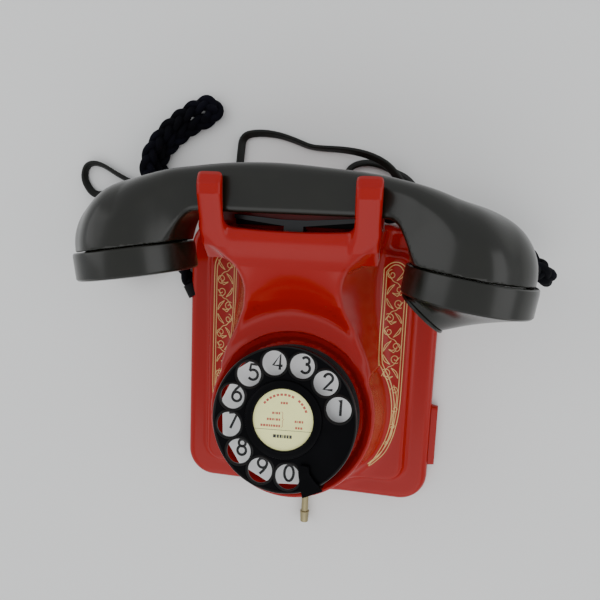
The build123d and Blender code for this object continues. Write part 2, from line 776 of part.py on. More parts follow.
def corner_radii(points):
    """The largest arc that each corner's two runs leave room for."""
    vectors = [Vector(*p) for p in points]
    radii = []
    for before, here, after in zip(vectors, vectors[1:], vectors[2:]):
        turn = (here - before).get_angle(after - here)
        shorter = min((here - before).length, (after - here).length)
        radii.append(0.45 * shorter / tan(radians(turn / 2)))
    return radii


def cord_tube(points, diameter, label):
    """A free cord as a tube of straight runs joined by tangent arcs."""
    radii = corner_radii(points)
    with BuildPart() as tube:
        with BuildLine() as route:
            FilletPolyline(*points, radius=radii)
        path = route.wires()[0]
        with BuildSketch(Plane(origin=path @ 0, z_dir=path % 0)):
            Circle(diameter / 2)
        sweep(path=path)
    length = path.length
    share = tube.part.volume / (pi * diameter**2 / 4 * length)
    print(label, "length", round(length, 1), "volume share", round(share, 4))
    print("radii", [round(r, 1) for r in radii], "runs",
          [round((Vector(*b) - Vector(*a)).length, 1) for a, b in zip(points, points[1:])])
    save(tube, label)


def out_of(plane, distance):
    """A point of a cord, that far along its gland's direction."""
    return tuple(plane.from_local_coords((0, 0, distance)))


PLAIT_ROUTE = [
    out_of(HANDSET_EXIT, 8.3),
    out_of(HANDSET_EXIT, 16.3),
    (129.5, 64.5, 33.0),
    (131.5, 66.5, 23.0),
    (127.0, 71.0, 14.5),
    (117.5, 77.0, 10.6),
    (103.0, 82.5, 10.6),
    (87.0, 87.5, 10.8),
    (68.0, 90.3, 10.8),
    (46.0, 89.4, 10.5),
    (24.0, 90.2, 10.8),
    (2.0, 89.2, 10.0),
    (-20.0, 90.0, 6.0),
    (-42.0, 89.2, 5.2),
    (-61.0, 91.0, 7.8),
    (-77.5, 96.0, 11.0),
    (-88.5, 106.0, 11.2),
    (-91.0, 119.0, 7.5),
    (-84.5, 129.0, 4.4),
    (-76.5, 136.5, 4.2),
    (-68.5, 142.0, 4.2),
    (-67.0, 149.0, 4.2),
    (-71.0, 154.7, 4.2),
    (-78.0, 155.3, 4.2),
    (-86.0, 149.0, 4.2),
    (-94.0, 139.5, 4.2),
    (-101.0, 128.5, 5.2),
    (-104.5, 116.0, 9.2),
    (-102.5, 104.0, 11.2),
    (-96.0, 93.0, 9.0),
    (-89.0, 83.0, 5.2),
    (-85.5, 72.0, 4.2),
    (-85.0, 61.5, 4.3),
    out_of(PLAIT_ENTRY, 11.5),
    out_of(PLAIT_ENTRY, 2.0),
]
cord_tube(PLAIT_ROUTE, PLAIT_D, "handset_cord")

LINE_ROUTE = [
    out_of(LINE_EXIT, 5.0),
    out_of(LINE_EXIT, 13.5),
    (18.0, 105.5, 2.5),
    (19.5, 114.5, 2.5),
    (27.5, 119.3, 2.5),
    (37.0, 117.3, 2.5),
    (45.5, 110.0, 2.5),
    (54.0, 99.5, 2.5),
    (64.5, 90.0, 2.5),
    (74.5, 81.5, 2.5),
    (81.0, 71.0, 2.5),
    (88.0, 62.0, 2.5),
    (98.5, 58.5, 2.5),
    (109.0, 62.0, 2.5),
    (115.0, 71.0, 2.5),
    (114.0, 82.0, 2.5),
    (106.0, 90.0, 2.5),
    (94.5, 95.0, 2.5),
    (82.0, 100.0, 2.7),
    (70.0, 105.5, 4.5),
    (58.5, 111.0, 7.8),
    (46.0, 117.0, 8.0),
    (34.0, 123.2, 7.4),
    (22.0, 126.0, 4.0),
    (9.0, 124.8, 2.5),
    (-6.0, 128.0, 2.5),
    (-20.5, 134.0, 2.5),
    (-34.0, 136.5, 2.5),
    (-44.5, 132.5, 2.5),
    (-50.0, 123.0, 2.5),
    (-54.0, 112.0, 2.5),
    (-62.5, 104.0, 2.5),
    (-75.0, 102.5, 2.5),
    (-90.0, 105.5, 2.5),
    (-106.5, 105.3, 2.5),
    (-121.0, 108.5, 2.5),
    (-134.0, 114.8, 2.5),
    (-145.5, 115.0, 2.5),
    (-153.0, 108.0, 2.5),
    (-152.0, 98.5, 2.5),
    (-144.0, 92.8, 2.5),
    (-136.8, 92.3, 2.5),
]
cord_tube(LINE_ROUTE, LINE_D, "line_cord")

with BuildPart() as line_cord_coil:
    with BuildSketch(Plane.XY.offset(0.1)):
        with Locations((COIL_X, COIL_Y)):
            Circle(COIL_R + COIL_WIDE / 2)
            Circle(COIL_R - COIL_WIDE / 2, mode=Mode.SUBTRACT)
    extrude(amount=COIL_HIGH)
    fillet(line_cord_coil.edges().filter_by(GeomType.CIRCLE), 2)
save(line_cord_coil, "line_cord_coil")

PLUG = Plane(origin=(COIL_X, COIL_Y, 0.2), x_dir=(1, -1, 0), z_dir=(0, 0, 1))
with BuildPart() as line_plug:
    with BuildSketch(PLUG):
        with Locations((1.5, 0)):
            RectangleRounded(19, 11.5, 1)
    extrude(amount=7.5)
    with BuildSketch(PLUG.offset(2)):
        with Locations((-13, 0)):
            Rectangle(13, 5.5)
    extrude(amount=3.4)
save(line_plug, "line_plug")
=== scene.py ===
import math

import bpy
import numpy as np
from mathutils import Matrix, Vector


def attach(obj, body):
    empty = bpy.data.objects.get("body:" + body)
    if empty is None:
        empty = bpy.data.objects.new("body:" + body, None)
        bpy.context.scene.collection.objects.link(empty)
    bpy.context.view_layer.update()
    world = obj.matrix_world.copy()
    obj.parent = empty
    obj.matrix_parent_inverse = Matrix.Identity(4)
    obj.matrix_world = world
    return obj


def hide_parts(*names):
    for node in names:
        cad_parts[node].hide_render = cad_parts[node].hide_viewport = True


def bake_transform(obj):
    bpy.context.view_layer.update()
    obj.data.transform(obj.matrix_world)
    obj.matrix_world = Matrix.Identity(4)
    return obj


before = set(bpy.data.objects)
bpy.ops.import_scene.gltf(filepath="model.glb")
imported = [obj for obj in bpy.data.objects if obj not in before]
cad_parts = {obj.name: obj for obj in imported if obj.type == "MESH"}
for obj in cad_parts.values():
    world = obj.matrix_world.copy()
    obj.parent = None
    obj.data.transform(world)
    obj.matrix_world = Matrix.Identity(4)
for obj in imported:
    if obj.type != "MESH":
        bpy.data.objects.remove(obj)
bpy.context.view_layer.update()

# A wall telephone lying on its back: one moulded cover, a dial, a handset in its cradle and two cords.
# Shapes below are in millimetres, in the frame's own axes; MM turns them into metres.
MM = 0.001

# ---------------------------------------------------------------- sizes
PLATE_W, PLATE_H, PLATE_R = 153.4, 166.0, 17.0
RIM_Z, PANEL_Z = 10.0, 17.0
RIM_SLOPE, PANEL_SLOPE = 0.052, 0.25  # inwards, for each millimetre of height
PANEL_W, PANEL_R = 121.6, 9.0
PANEL_LOW, PANEL_HIGH = -67.7, 67.0
WALL = 2.5
DIAL_TILT = math.radians(8.6)
DIAL_AT = Vector((0.0, -16.3, 72.3))
WHEEL_R = 38.1
HOLE_R, HOLE_PITCH_R, HOLE_STEP, FIRST_HOLE = 6.55, 29.4, 29.2, 15.7
FIGURE_STEP, FIRST_FIGURE = 29.1, 15.2
PLATE_SIDES, PLATE_APOTHEM, PLATE_TURN = 12, 35.0, 5.0
RIDGE_R, RIDGE_DROP = 45.6, 16.5
FOOT_R, FOOT_Y = 51.0, -25.0
HOUSING_RISE, HOUSING_LEAN = 39, 6.2  # the housing's height above the panel, and its shift in Y over it
WELL_R, WELL_DROP = 39.5, 21.5
WELL_SLOPES = ((WELL_DROP, 0.75, 2.4), (18.4, 1.3, 2.6))  # where each starts, how steep, how wide
CASE_HOLE_R, CASE_HOLE_DROP = 31.0, 24
PLATE_DROP = 7.2
PRONG_X, PRONG_W = 38.2, 12.5
PRONG_BEND_Z, PRONG_BEND_RISE = 76, 13
PRONG_SHIFT_LEFT, PRONG_SHIFT_RIGHT = -1.8, 0.9  # of the upper ends, outwards
SHELF_W, SHELF_Y, SHELF_Z, SHELF_DEEP, SHELF_HIGH = 88.8, 89, 54.1, 22, 8.2
STEM_HOLE = (0, 80, 62)  # the slot for the hook bar's stem
STEM_HOLE_HALF = (5.5, 5, 4)
NECK_LOW = 4
CRADLE_Y = 82.0
CRADLE_BOW, CRADLE_BOW_X = 1.8, 36  # how far the neck's end is hollow, and to where
HANDLE_Z = 70.0
HANDLE_REACH = 96  # the handle's half length, where it has run into the cups
EAR_SEAM = (-83.5, 68.6, 9.0)
MOUTH_SEAM = (87.7, 64.2, 8.0)
EAR_R, MOUTH_R = 29.3, 28.9
CUP_BORE_R, CUP_BORE_H = 25.5, 8
CUP_ZONE_R = 45  # what the seam's plane cuts off
CAP_R, CAP_H = 31.2, 14.9
CARD_Z = 0.5
PRINT_H = 0.04
LINE_D, PLAIT_D = 4.8, 8.2
COIL_X, COIL_Y = -122.0, 68.0
COIL_SHIFT_X, COIL_SHIFT_Y = 1.2, 3.4  # from the CAD's ring towards the ear cup
COIL_OUTER, COIL_INNER, COIL_LAYERS, COIL_PITCH = 26.4, 21.6, 5, 2.4
COIL_Z, COIL_START, COIL_STEPS = 1.4, 108, 14
SIDES = (("right", 1), ("left", -1))


def placed(origin, z_dir, x_dir):
    """The matrix of a plane with that origin, normal and X direction, in millimetres."""
    z = Vector(z_dir).normalized()
    x = Vector(x_dir)
    x = (x - z * x.dot(z)).normalized()
    y = z.cross(x)
    turn = Matrix((x, y, z)).transposed().to_4x4()
    return Matrix.Translation(Vector(origin)) @ turn


def at_angle(r, turn, x=0.0, y=0.0):
    """The point at that distance and angle, in radians, from a centre."""
    return (x + r * math.cos(turn), y + r * math.sin(turn))


DIAL = placed(DIAL_AT, (0, math.sin(DIAL_TILT), math.cos(DIAL_TILT)), (1, 0, 0))


def cup_plane(x, y, lean):
    """The seam of a cup, its Z pointing into the handset."""
    out = math.copysign(math.sin(math.radians(lean)), x)
    return placed((x, y, HANDLE_Z), (out, math.cos(math.radians(lean)), 0), (0, 0, 1))


EAR, MOUTH = cup_plane(*EAR_SEAM), cup_plane(*MOUTH_SEAM)
HORN = placed((66.5, 44.8, HANDLE_Z), (-0.66, -0.75, 0), (0, 0, 1))
HANDSET_EXIT = placed((111.5, 66.5, 50.0), (0.76, -0.10, -0.64), (0, 1, 0))
PLAIT_ENTRY = placed((-77.0, 40.0, 5.1), (-0.50, 0.87, 0), (0, 0, 1))
LINE_EXIT = placed((20.0, 82.0, 3.4), (0, 1, 0), (1, 0, 0))

# ---------------------------------------------------------------- materials


def noise(tree, coords, scale, detail):
    """Noise over the object's own coordinates."""
    node = tree.nodes.new("ShaderNodeTexNoise")
    node.inputs["Scale"].default_value = scale
    node.inputs["Detail"].default_value = detail
    tree.links.new(coords.outputs["Object"], node.inputs["Vector"])
    return node.outputs["Fac"]


def ranged(tree, value, source, target):
    """A value carried from one range to another."""
    node = tree.nodes.new("ShaderNodeMapRange")
    for socket, end in zip(("From Min", "From Max", "To Min", "To Max"), (*source, *target)):
        node.inputs[socket].default_value = end
    tree.links.new(value, node.inputs["Value"])
    return node.outputs["Result"]


def mixed(tree, share, first, second):
    """Two colours mixed by a share. The first is a colour or another node's output."""
    node = tree.nodes.new("ShaderNodeMixRGB")
    if isinstance(first, tuple):
        node.inputs["Color1"].default_value = (*first, 1)
    else:
        tree.links.new(first, node.inputs["Color1"])
    node.inputs["Color2"].default_value = (*second, 1)
    tree.links.new(share, node.inputs["Fac"])
    return node.outputs["Color"]


def material(
    name, colour, rough, metal=0.0, gloss=0.5, grain=None, bump=0.0, bump_scale=300.0, wear_and_sheen=0.0
):
    """A procedural surface: colour varied by noise, roughness varied by smudges, and a fine bump."""
    mat = bpy.data.materials.new(name)
    mat.use_nodes = True
    tree = mat.node_tree
    shader = tree.nodes["Principled BSDF"]
    shader.inputs["Metallic"].default_value = metal
    shader.inputs["Specular IOR Level"].default_value = gloss
    coords = tree.nodes.new("ShaderNodeTexCoord")
    smudges = ranged(tree, noise(tree, coords, 22.0, 6.0), (0, 1), (rough * 0.8, rough * 1.25))
    tree.links.new(smudges, shader.inputs["Roughness"])
    speckle = ranged(tree, noise(tree, coords, 90.0, 8.0), (0.45, 0.75), (0, 0.5))
    tint = mixed(tree, speckle, colour, grain or [c * 0.8 for c in colour])
    # Convex edges mixed towards grey by pointiness: partly real paint wear, partly a painted highlight.
    if wear_and_sheen:
        edges = tree.nodes.new("ShaderNodeNewGeometry").outputs["Pointiness"]
        tint = mixed(tree, ranged(tree, edges, (0.52, 0.6), (0, wear_and_sheen)), tint, (0.35, 0.35, 0.34))
    tree.links.new(tint, shader.inputs["Base Color"])
    if bump:
        raised = tree.nodes.new("ShaderNodeBump")
        raised.inputs["Strength"].default_value = bump
        raised.inputs["Distance"].default_value = 0.0002
        tree.links.new(noise(tree, coords, bump_scale, 3.0), raised.inputs["Height"])
        tree.links.new(raised.outputs["Normal"], shader.inputs["Normal"])
    return mat


RED = material("red moulding", (0.31, 0.005, 0.002), 0.2, gloss=0.27, grain=(0.3, 0.004, 0.001), bump=0.015)
BLACK = material(
    "black moulding", (0.006, 0.0062, 0.0035), 0.24, gloss=0.44, grain=(0.009, 0.009, 0.005), bump=0.015
)
DIAL_BLACK = material(
    "dial black", (0.002, 0.002, 0.0025), 0.3, gloss=0.05, grain=(0.004, 0.004, 0.005), bump=0.03
)
# The dial's rim and hole collars: black with greyed edges, partly real wear and partly a painted highlight.
WEAR_AND_SHEEN_BLACK = material(
    "worn dial rim with painted highlight", (0.003, 0.003, 0.003), 0.3, gloss=0.2, grain=(0.02, 0.015, 0.013), bump=0.05, wear_and_sheen=0.5
)
HOOK_BLACK = material("hook black", (0.006, 0.007, 0.009), 0.25, bump=0.05)
SATIN = material("satin black", (0.012, 0.012, 0.012), 0.35, bump=0.05)
STEEL = material("plated steel", (0.55, 0.55, 0.53), 0.3, metal=1.0, grain=(0.4, 0.4, 0.38), bump=0.1)
BRASS = material("brass", (0.5, 0.36, 0.14), 0.3, metal=1.0, grain=(0.3, 0.2, 0.08), bump=0.1)
OLD_BRASS = material("dull brass", (0.33, 0.28, 0.15), 0.42, metal=0.9, grain=(0.2, 0.17, 0.1), bump=0.2)
COPPER = material("winding", (0.35, 0.09, 0.03), 0.4, metal=0.4, bump=0.4, bump_scale=900)
ENAMEL = material("white enamel", (0.96, 0.96, 0.95), 0.25, grain=(0.88, 0.87, 0.85))
CARD = material("cream card", (1.0, 1.0, 0.44), 0.8, gloss=0.2, grain=(0.9, 0.88, 0.36), bump=0.1)
INK = material("black print", (0.01, 0.01, 0.01), 0.5, grain=(0.02, 0.02, 0.02))
RED_INK = material("red print", (0.5, 0.06, 0.04), 0.6)
GOLD = material("gold print", (0.62, 0.42, 0.16), 0.38, metal=0.35, grain=(0.45, 0.26, 0.1))
DULL = material("capsule metal", (0.6, 0.6, 0.58), 0.35, metal=1.0, bump=0.1)
COTTON = material(
    "braided cotton", (0.0015, 0.0015, 0.003), 0.85,
    gloss=0.1, grain=(0.007, 0.007, 0.016), bump=1.0, bump_scale=1500,
)
CORD = material("flat cord", (0.006, 0.0065, 0.005), 0.45, gloss=0.22, grain=(0.012, 0.013, 0.01), bump=0.1)
RUBBER = material("rubber", (0.004, 0.004, 0.005), 0.6, gloss=0.12, bump=0.2)


def clear_material():
    """The thin clear cover of the label, a little dusty."""
    mat = bpy.data.materials.new("clear cover")
    mat.use_nodes = True
    tree = mat.node_tree
    tree.nodes.remove(tree.nodes["Principled BSDF"])
    through = tree.nodes.new("ShaderNodeBsdfTransparent")
    gloss = tree.nodes.new("ShaderNodeBsdfGlossy")
    gloss.inputs["Roughness"].default_value = 0.06
    blend = tree.nodes.new("ShaderNodeMixShader")
    coords = tree.nodes.new("ShaderNodeTexCoord")
    dust = ranged(tree, noise(tree, coords, 60.0, 2.0), (0, 1), (0.005, 0.025))
    tree.links.new(dust, blend.inputs["Fac"])
    tree.links.new(through.outputs["BSDF"], blend.inputs[1])
    tree.links.new(gloss.outputs["BSDF"], blend.inputs[2])
    tree.links.new(blend.outputs["Shader"], tree.nodes["Material Output"].inputs["Surface"])
    return mat


CLEAR = clear_material()

# ---------------------------------------------------------------- making pieces


def piece(name, points, faces, mat, body, place=None, replaces=()):
    """A smooth mesh from points in millimetres, placed by a matrix and riding a body if they are given."""
    spots = np.asarray(points, float)
    if place is not None:
        turn = np.array(place)
        spots = spots @ turn[:3, :3].T + turn[:3, 3]
    mesh = bpy.data.meshes.new(name)
    mesh.from_pydata((spots * MM).tolist(), [], [list(map(int, f)) for f in faces])
    mesh.materials.append(mat)
    mesh.polygons.foreach_set("use_smooth", [True] * len(mesh.polygons))
    mesh.validate()
    thing = bpy.data.objects.new(name.replace(" ", "_"), mesh)
    bpy.context.collection.objects.link(thing)
    if body:
        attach(thing, body)
    if replaces:
        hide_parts(*replaces)
    return thing


def ring_faces(rows, steps):
    """Faces between rows of points round an axis, the last row joined to the first."""
    faces = []
    for i in range(rows):
        j = (i + 1) % rows
        for k in range(steps):
            m = (k + 1) % steps
            faces.append((i * steps + k, i * steps + m, j * steps + m, j * steps + k))
    return faces


def lathe(name, profile, mat, body, place, steps=96, replaces=()):
    """A closed profile of (radius, height) turned about a plane's Z."""
    turns = np.linspace(0, 2 * math.pi, steps, endpoint=False)
    points = [(*at_angle(r, turn), h) for r, h in profile for turn in turns]
    creased(piece(name, points, ring_faces(len(profile), steps), mat, body, place, replaces))


def creased(thing, degrees=32):
    """Sharp edges where faces meet at more than that angle."""
    thing.data.set_sharp_from_angle(angle=math.radians(degrees))


def circle(r, x=0.0, y=0.0, steps=64):
    """Points round a circle."""
    return [at_angle(r, 2 * math.pi * k / steps, x, y) for k in range(steps)]


def polygon(sides, apothem, turn):
    """A regular polygon, one of its flats facing that many degrees from X."""
    r = apothem / math.cos(math.pi / sides)
    turns = [math.radians(turn) + 2 * math.pi * (k + 0.5) / sides for k in range(sides)]
    return [at_angle(r, a) for a in turns]


def curve_mesh(curve):
    """The mesh that a curve makes, as Blender evaluates it. The curve's object is gone afterwards."""
    drawn = bpy.data.objects.new(curve.name, curve)
    bpy.context.collection.objects.link(drawn)
    mesh = bpy.data.meshes.new_from_object(drawn.evaluated_get(bpy.context.evaluated_depsgraph_get()))
    bpy.data.objects.remove(drawn)
    return mesh


def cut_sheet(name, outlines, bottom, top, mat, body, place, bevel, replaces=()):
    """A flat sheet with holes: closed outlines in a plane, from bottom to top, its edges rounded."""
    curve = bpy.data.curves.new(name, "CURVE")
    curve.dimensions = "2D"
    curve.fill_mode = "BOTH"
    curve.extrude = (top - bottom) / 2 - bevel
    curve.bevel_depth = bevel
    curve.bevel_resolution = 2
    for k, outline in enumerate(outlines):
        inset = -bevel if k == 0 else bevel
        spline = curve.splines.new("POLY")
        spline.points.add(len(outline) - 1)
        centre = np.mean(outline, axis=0)
        for point, spot in zip(spline.points, outline):
            away = np.array(spot) - centre
            moved = np.array(spot) + away / max(np.linalg.norm(away), 1e-6) * inset
            point.co = (*moved, 0, 1)
        spline.use_cyclic_u = True
    mesh = curve_mesh(curve)
    points = np.array([v.co for v in mesh.vertices]) + np.array([0, 0, (top + bottom) / 2])
    faces = [tuple(p.vertices) for p in mesh.polygons]
    bpy.data.meshes.remove(mesh)
    creased(piece(name, points, faces, mat, body, place, replaces))


def ribbon(name, lines, width, height, mat, body, place):
    """Thin raised strokes along open or closed lines of (x, y) in a plane, as one piece."""
    profile = ((-1, 0), (-0.7, height), (0.7, height), (1, 0))
    points, faces = [], []
    for line in lines:
        closed = math.dist(line[0], line[-1]) < 1e-6
        path = np.array(line[:-1] if closed else line, float)
        ahead = np.roll(path, -1, 0) - np.roll(path, 1, 0)
        if not closed:
            ahead[0] = path[1] - path[0]
            ahead[-1] = path[-1] - path[-2]
        ahead /= np.maximum(np.linalg.norm(ahead, axis=1), 1e-9)[:, None]
        side = np.c_[-ahead[:, 1], ahead[:, 0]] * width / 2
        start = len(points)
        for spot, out in zip(path, side):
            points += [(*(spot + out * share), h) for share, h in profile]
        count = len(path)
        for i in range(count if closed else count - 1):
            j = (i + 1) % count
            for k in range(3):
                here, there = start + 4 * i + k, start + 4 * j + k
                faces.append((here, there, there + 1, here + 1))
    return piece(name, points, faces, mat, body, place)


# ---------------------------------------------------------------- shapes as distance fields


def smin(a, b, k):
    """The smaller distance, rounded where the two meet."""
    h = np.clip(0.5 + 0.5 * (b - a) / k, 0, 1)
    return b * (1 - h) + a * h - k * h * (1 - h)


def smax(a, b, k):
    """The larger distance, rounded where the two meet."""
    return -smin(-a, -b, k)


def rounded_rect(x, y, half_w, half_h, r):
    """Distance to a rectangle with round corners."""
    qx = np.abs(x) - half_w + r
    qy = np.abs(y) - half_h + r
    return np.hypot(np.maximum(qx, 0), np.maximum(qy, 0)) + np.minimum(np.maximum(qx, qy), 0) - r


def outline_distance(x, y, corners):
    """Distance to a polygon, negative inside."""
    x, y = np.broadcast_arrays(x, y)
    near = np.full(x.shape, 1e18)
    inside = np.zeros(x.shape, bool)
    for (ax, ay), (bx, by) in zip(corners, corners[1:] + corners[:1]):
        ex, ey = bx - ax, by - ay
        wx, wy = x - ax, y - ay
        t = np.clip((wx * ex + wy * ey) / (ex * ex + ey * ey), 0, 1)
        near = np.minimum(near, (wx - t * ex) ** 2 + (wy - t * ey) ** 2)
        crossing = ((ay > y) != (by > y)) & (x < ex * (y - ay) / (ey if ey else 1e-9) + ax)
        inside ^= crossing
    return np.where(inside, -1, 1) * np.sqrt(near)


def eased(value, stations, values):
    """Values at the stations joined by a smooth curve."""
    s, v = np.asarray(stations, float), np.asarray(values, float)
    slope = np.gradient(v, s)
    i = np.clip(np.searchsorted(s, value) - 1, 0, len(s) - 2)
    width = s[i + 1] - s[i]
    t = np.clip((value - s[i]) / width, 0, 1)
    return (
        (2 * t**3 - 3 * t**2 + 1) * v[i]
        + (t**3 - 2 * t**2 + t) * width * slope[i]
        + (3 * t**2 - 2 * t**3) * v[i + 1]
        + (t**3 - t**2) * width * slope[i + 1]
    )


def surface_net(values):
    """Quads round every edge of a grid where the values change sign, and a point for each cell they use."""
    size = values.shape
    total = np.zeros([n - 1 for n in size] + [3])
    count = np.zeros([n - 1 for n in size])
    quads = []
    for axis in range(3):
        others = [a for a in range(3) if a != axis]
        first = [slice(None)] * 3
        second = [slice(None)] * 3
        first[axis], second[axis] = slice(0, -1), slice(1, None)
        a, b = values[tuple(first)], values[tuple(second)]
        edges = np.argwhere((a < 0) != (b < 0))
        va, vb = a[tuple(edges.T)], b[tuple(edges.T)]
        spots = edges.astype(float)
        spots[:, axis] += va / (va - vb)
        inner = np.all([(edges[:, o] > 0) & (edges[:, o] < size[o] - 1) for o in others], axis=0)
        edges, spots, falling = edges[inner], spots[inner], (va > 0)[inner]
        around = []
        for du, dv in ((-1, -1), (0, -1), (0, 0), (-1, 0)):
            cell = edges.copy()
            cell[:, others[0]] += du
            cell[:, others[1]] += dv
            np.add.at(total, tuple(cell.T), spots)
            np.add.at(count, tuple(cell.T), 1)
            around.append(np.ravel_multi_index(tuple(cell.T), count.shape))
        around = np.stack(around, 1)
        flip = falling if axis != 1 else ~falling
        around[flip] = around[flip][:, ::-1]
        quads.append(around)
    quads = np.concatenate(quads)
    used, quads = np.unique(quads, return_inverse=True)
    quads = quads.reshape(-1, 4)
    cells = np.unravel_index(used, count.shape)
    return quads, total[cells] / count[cells][:, None]


def gradient(field, points, small=0.05):
    """The slope of a distance field at points."""
    columns = []
    for axis in range(3):
        nudge = np.zeros(3)
        nudge[axis] = small
        columns.append((field(*(points + nudge).T) - field(*(points - nudge).T)) / (2 * small))
    return np.stack(columns, 1)


def settled(field, points, step):
    """The points moved onto a field's zero surface, and the surface's normals there."""
    for _ in range(4):
        slope = gradient(field, points)
        value = field(*points.T)
        shift = -value[:, None] * slope / np.maximum((slope**2).sum(1), 0.05)[:, None]
        reach = np.linalg.norm(shift, axis=1)
        points = points + shift * np.minimum(1, 0.5 * step / np.maximum(reach, 1e-9))[:, None]
    slope = gradient(field, points)
    return points, slope / np.maximum(np.linalg.norm(slope, axis=1), 1e-9)[:, None]


def field_mesh(name, field, low, high, step, mat, body, replaces):
    """The zero surface of a distance field, as one smooth closed mesh."""
    axes = [np.arange(a - 1.5 * step, b + 2.5 * step, step) for a, b in zip(low, high)]
    quads, spots = surface_net(field(*np.meshgrid(*axes, indexing="ij", sparse=True)))
    points, normals = settled(field, spots * step + np.array([a[0] for a in axes]), step)
    thing = piece(name, points, quads, mat, body, replaces=replaces)
    if len(thing.data.vertices) == len(points):
        thing.data.normals_split_custom_set_from_vertices(normals.tolist())


# ---------------------------------------------------------------- cover

NECK_Y = (5.0, 12.0, 30.0, 38.0, 45.0, 52.0, 60.0, 67.0, 73.0, 82.0)
NECK_FOOT = (46.5, 45.0, 42.4, 41.3, 40.9, 40.8, 41.0, 41.5, 42.5, 44.0)
NECK_FRONT = (42.0, 40.0, 32.0, 28.4, 26.6, 26.3, 28.8, 34.0, 38.5, 44.4)
NECK_TOP = (51.0, 50.8, 50.6, 51.8, 57.4, 64.0, 70.8, 76.0, 79.0, 79.8)
PRONG_SIDE = [
    (64, 68), (72, 78.5), (84, 84.5), (96, 90.5), (102, 91), (105.5, 89.5),
    (107.3, 87.5), (106.5, 85.5), (104, 84.8), (97, 84), (88, 82.2), (80, 74),
]


def dial_local(x, y, z):
    """Radius from the dial's axis, and height above the wheel's face."""
    dy, dz = y - DIAL_AT.y, z - DIAL_AT.z
    up = dy * math.sin(DIAL_TILT) + dz * math.cos(DIAL_TILT)
    across = dy * math.cos(DIAL_TILT) - dz * math.sin(DIAL_TILT)
    return np.hypot(x, across), up


def cover_body(x, y, z, inset):
    """The margin, panel, dial housing and neck, shrunk by inset."""
    rim = rounded_rect(x, y, PLATE_W / 2 - inset, PLATE_H / 2 - inset, PLATE_R - inset)
    rim = rim + z * RIM_SLOPE
    rim = smax(rim, z - RIM_Z + inset, 5.0)
    middle = (PANEL_LOW + PANEL_HIGH) / 2
    half = (PANEL_HIGH - PANEL_LOW) / 2
    panel = rounded_rect(x, y - middle, PANEL_W / 2 - inset, half - inset, PANEL_R)
    panel = panel + (z - PANEL_Z) * PANEL_SLOPE
    panel = smax(panel, z - PANEL_Z + inset, 2.5)
    rho, up = dial_local(x, y, z)
    s = np.clip((z - PANEL_Z) / HOUSING_RISE, -0.3, 1.0)
    side = np.hypot(x, y - (FOOT_Y + HOUSING_LEAN * s))
    side = side - (RIDGE_R + (FOOT_R - RIDGE_R) * (1 - s) ** 1.6 - inset)
    drop = RIDGE_DROP if inset == 0 else WELL_DROP + inset
    housing = smax(side, up + drop, 3.5)
    foot, front = (eased(y, NECK_Y, v) for v in (NECK_FOOT, NECK_FRONT))
    trough = y + x**2 / 90 * np.clip((62 - y) / 20, 0, 1)
    top = eased(trough, NECK_Y, NECK_TOP)
    t = np.clip((z - PANEL_Z) / (top - PANEL_Z - 4), -0.2, 1.2)
    flank = (np.abs(x) - (foot + (front - foot) * t) + inset) * 0.92
    neck = smax(flank, (z - top + inset) * 0.93, 3.0)
    bow = CRADLE_BOW * np.maximum(1 - (x / CRADLE_BOW_X) ** 2, 0)
    neck = smax(neck, y - CRADLE_Y + inset + bow, 2.0)
    neck = smax(neck, NECK_LOW - y, 2.0)
    if inset:
        neck = smax(neck, np.minimum(RIDGE_R + 4 - rho, up + drop), 1.0)
    return smin(smin(rim, panel, 3.5), smin(housing, neck, 5.0), 9.0)


def cover_field(x, y, z):
    """The whole cover: its body with prongs and shelf, less the well, the inside and two holes."""
    body = cover_body(x, y, z, 0.0)
    bend = np.clip((z - PRONG_BEND_Z) / PRONG_BEND_RISE, 0, 1)
    middle = PRONG_X + bend * np.where(x < 0, PRONG_SHIFT_LEFT, PRONG_SHIFT_RIGHT)
    bracket = smax(outline_distance(y, z, PRONG_SIDE), np.abs(np.abs(x) - middle) - PRONG_W / 2, 2.5)
    shelf = rounded_rect(x, y - SHELF_Y, SHELF_W / 2, SHELF_DEEP / 2, 4)
    shelf = smax(shelf, np.abs(z - SHELF_Z) - SHELF_HIGH / 2, 2.0)
    body = smin(body, bracket, 4.0)
    body = smin(body, shelf, 2.5)
    rho, up = dial_local(x, y, z)
    bevel = WELL_R
    for start, slope, width in WELL_SLOPES:
        bevel = bevel + np.clip((up + start) * slope, 0, width)
    well = np.maximum((rho - bevel) * 0.7, -(up + WELL_DROP))
    body = smax(body, -well, 0.9)
    case_hole = np.maximum(rho - CASE_HOLE_R, np.abs(up + CASE_HOLE_DROP) - 6)
    body = smax(body, -case_hole, 0.5)
    inner = cover_body(x, y, z, WALL)
    body = smax(body, -inner, 0.6)
    reach = [np.abs(v - at) - half for v, at, half in zip((x, y, z), STEM_HOLE, STEM_HOLE_HALF)]
    stem_hole = np.maximum(np.maximum(reach[0], reach[1]), reach[2])
    body = np.maximum(body, -stem_hole)
    return smax(body, -z + 0.05, 0.4)


field_mesh("cover", cover_field, (-77.5, -84, 0), (77.5, 108, 92), 1.2, RED, "base", ["front_cover"])

# ---------------------------------------------------------------- handset

OVER_X = (-112, -95, -80, -67, -48, -12, 18, 51, 80, 97, 112)
OVER_Y = (80, 95, 102.8, 107, 110.4, 113, 111.2, 107, 98.0, 87.5, 74)
UNDER_X = (-90, -68, -61, -57, -53, -49.5, -44, -36, 0, 36, 45, 50, 53.5, 56, 60, 67, 90)
UNDER_Y = (60, 63, 70.5, 77, 83.5, 87, 88.4, 88.4, 88.4, 88.4, 88.4, 87.4, 84, 79, 70, 62, 58)
CORNER_X, CORNER_R = (0, 48, 60, 72, 85, 110), (8.5, 8.5, 11, 17, 22, 24)
DEPTH_X = (-90, -78, -62, -48, -30, 0, 30, 48, 62, 78, 90)
DEPTH = (27, 25.5, 18.5, 13, 11.3, 11, 11.3, 13, 18.5, 25.5, 27)


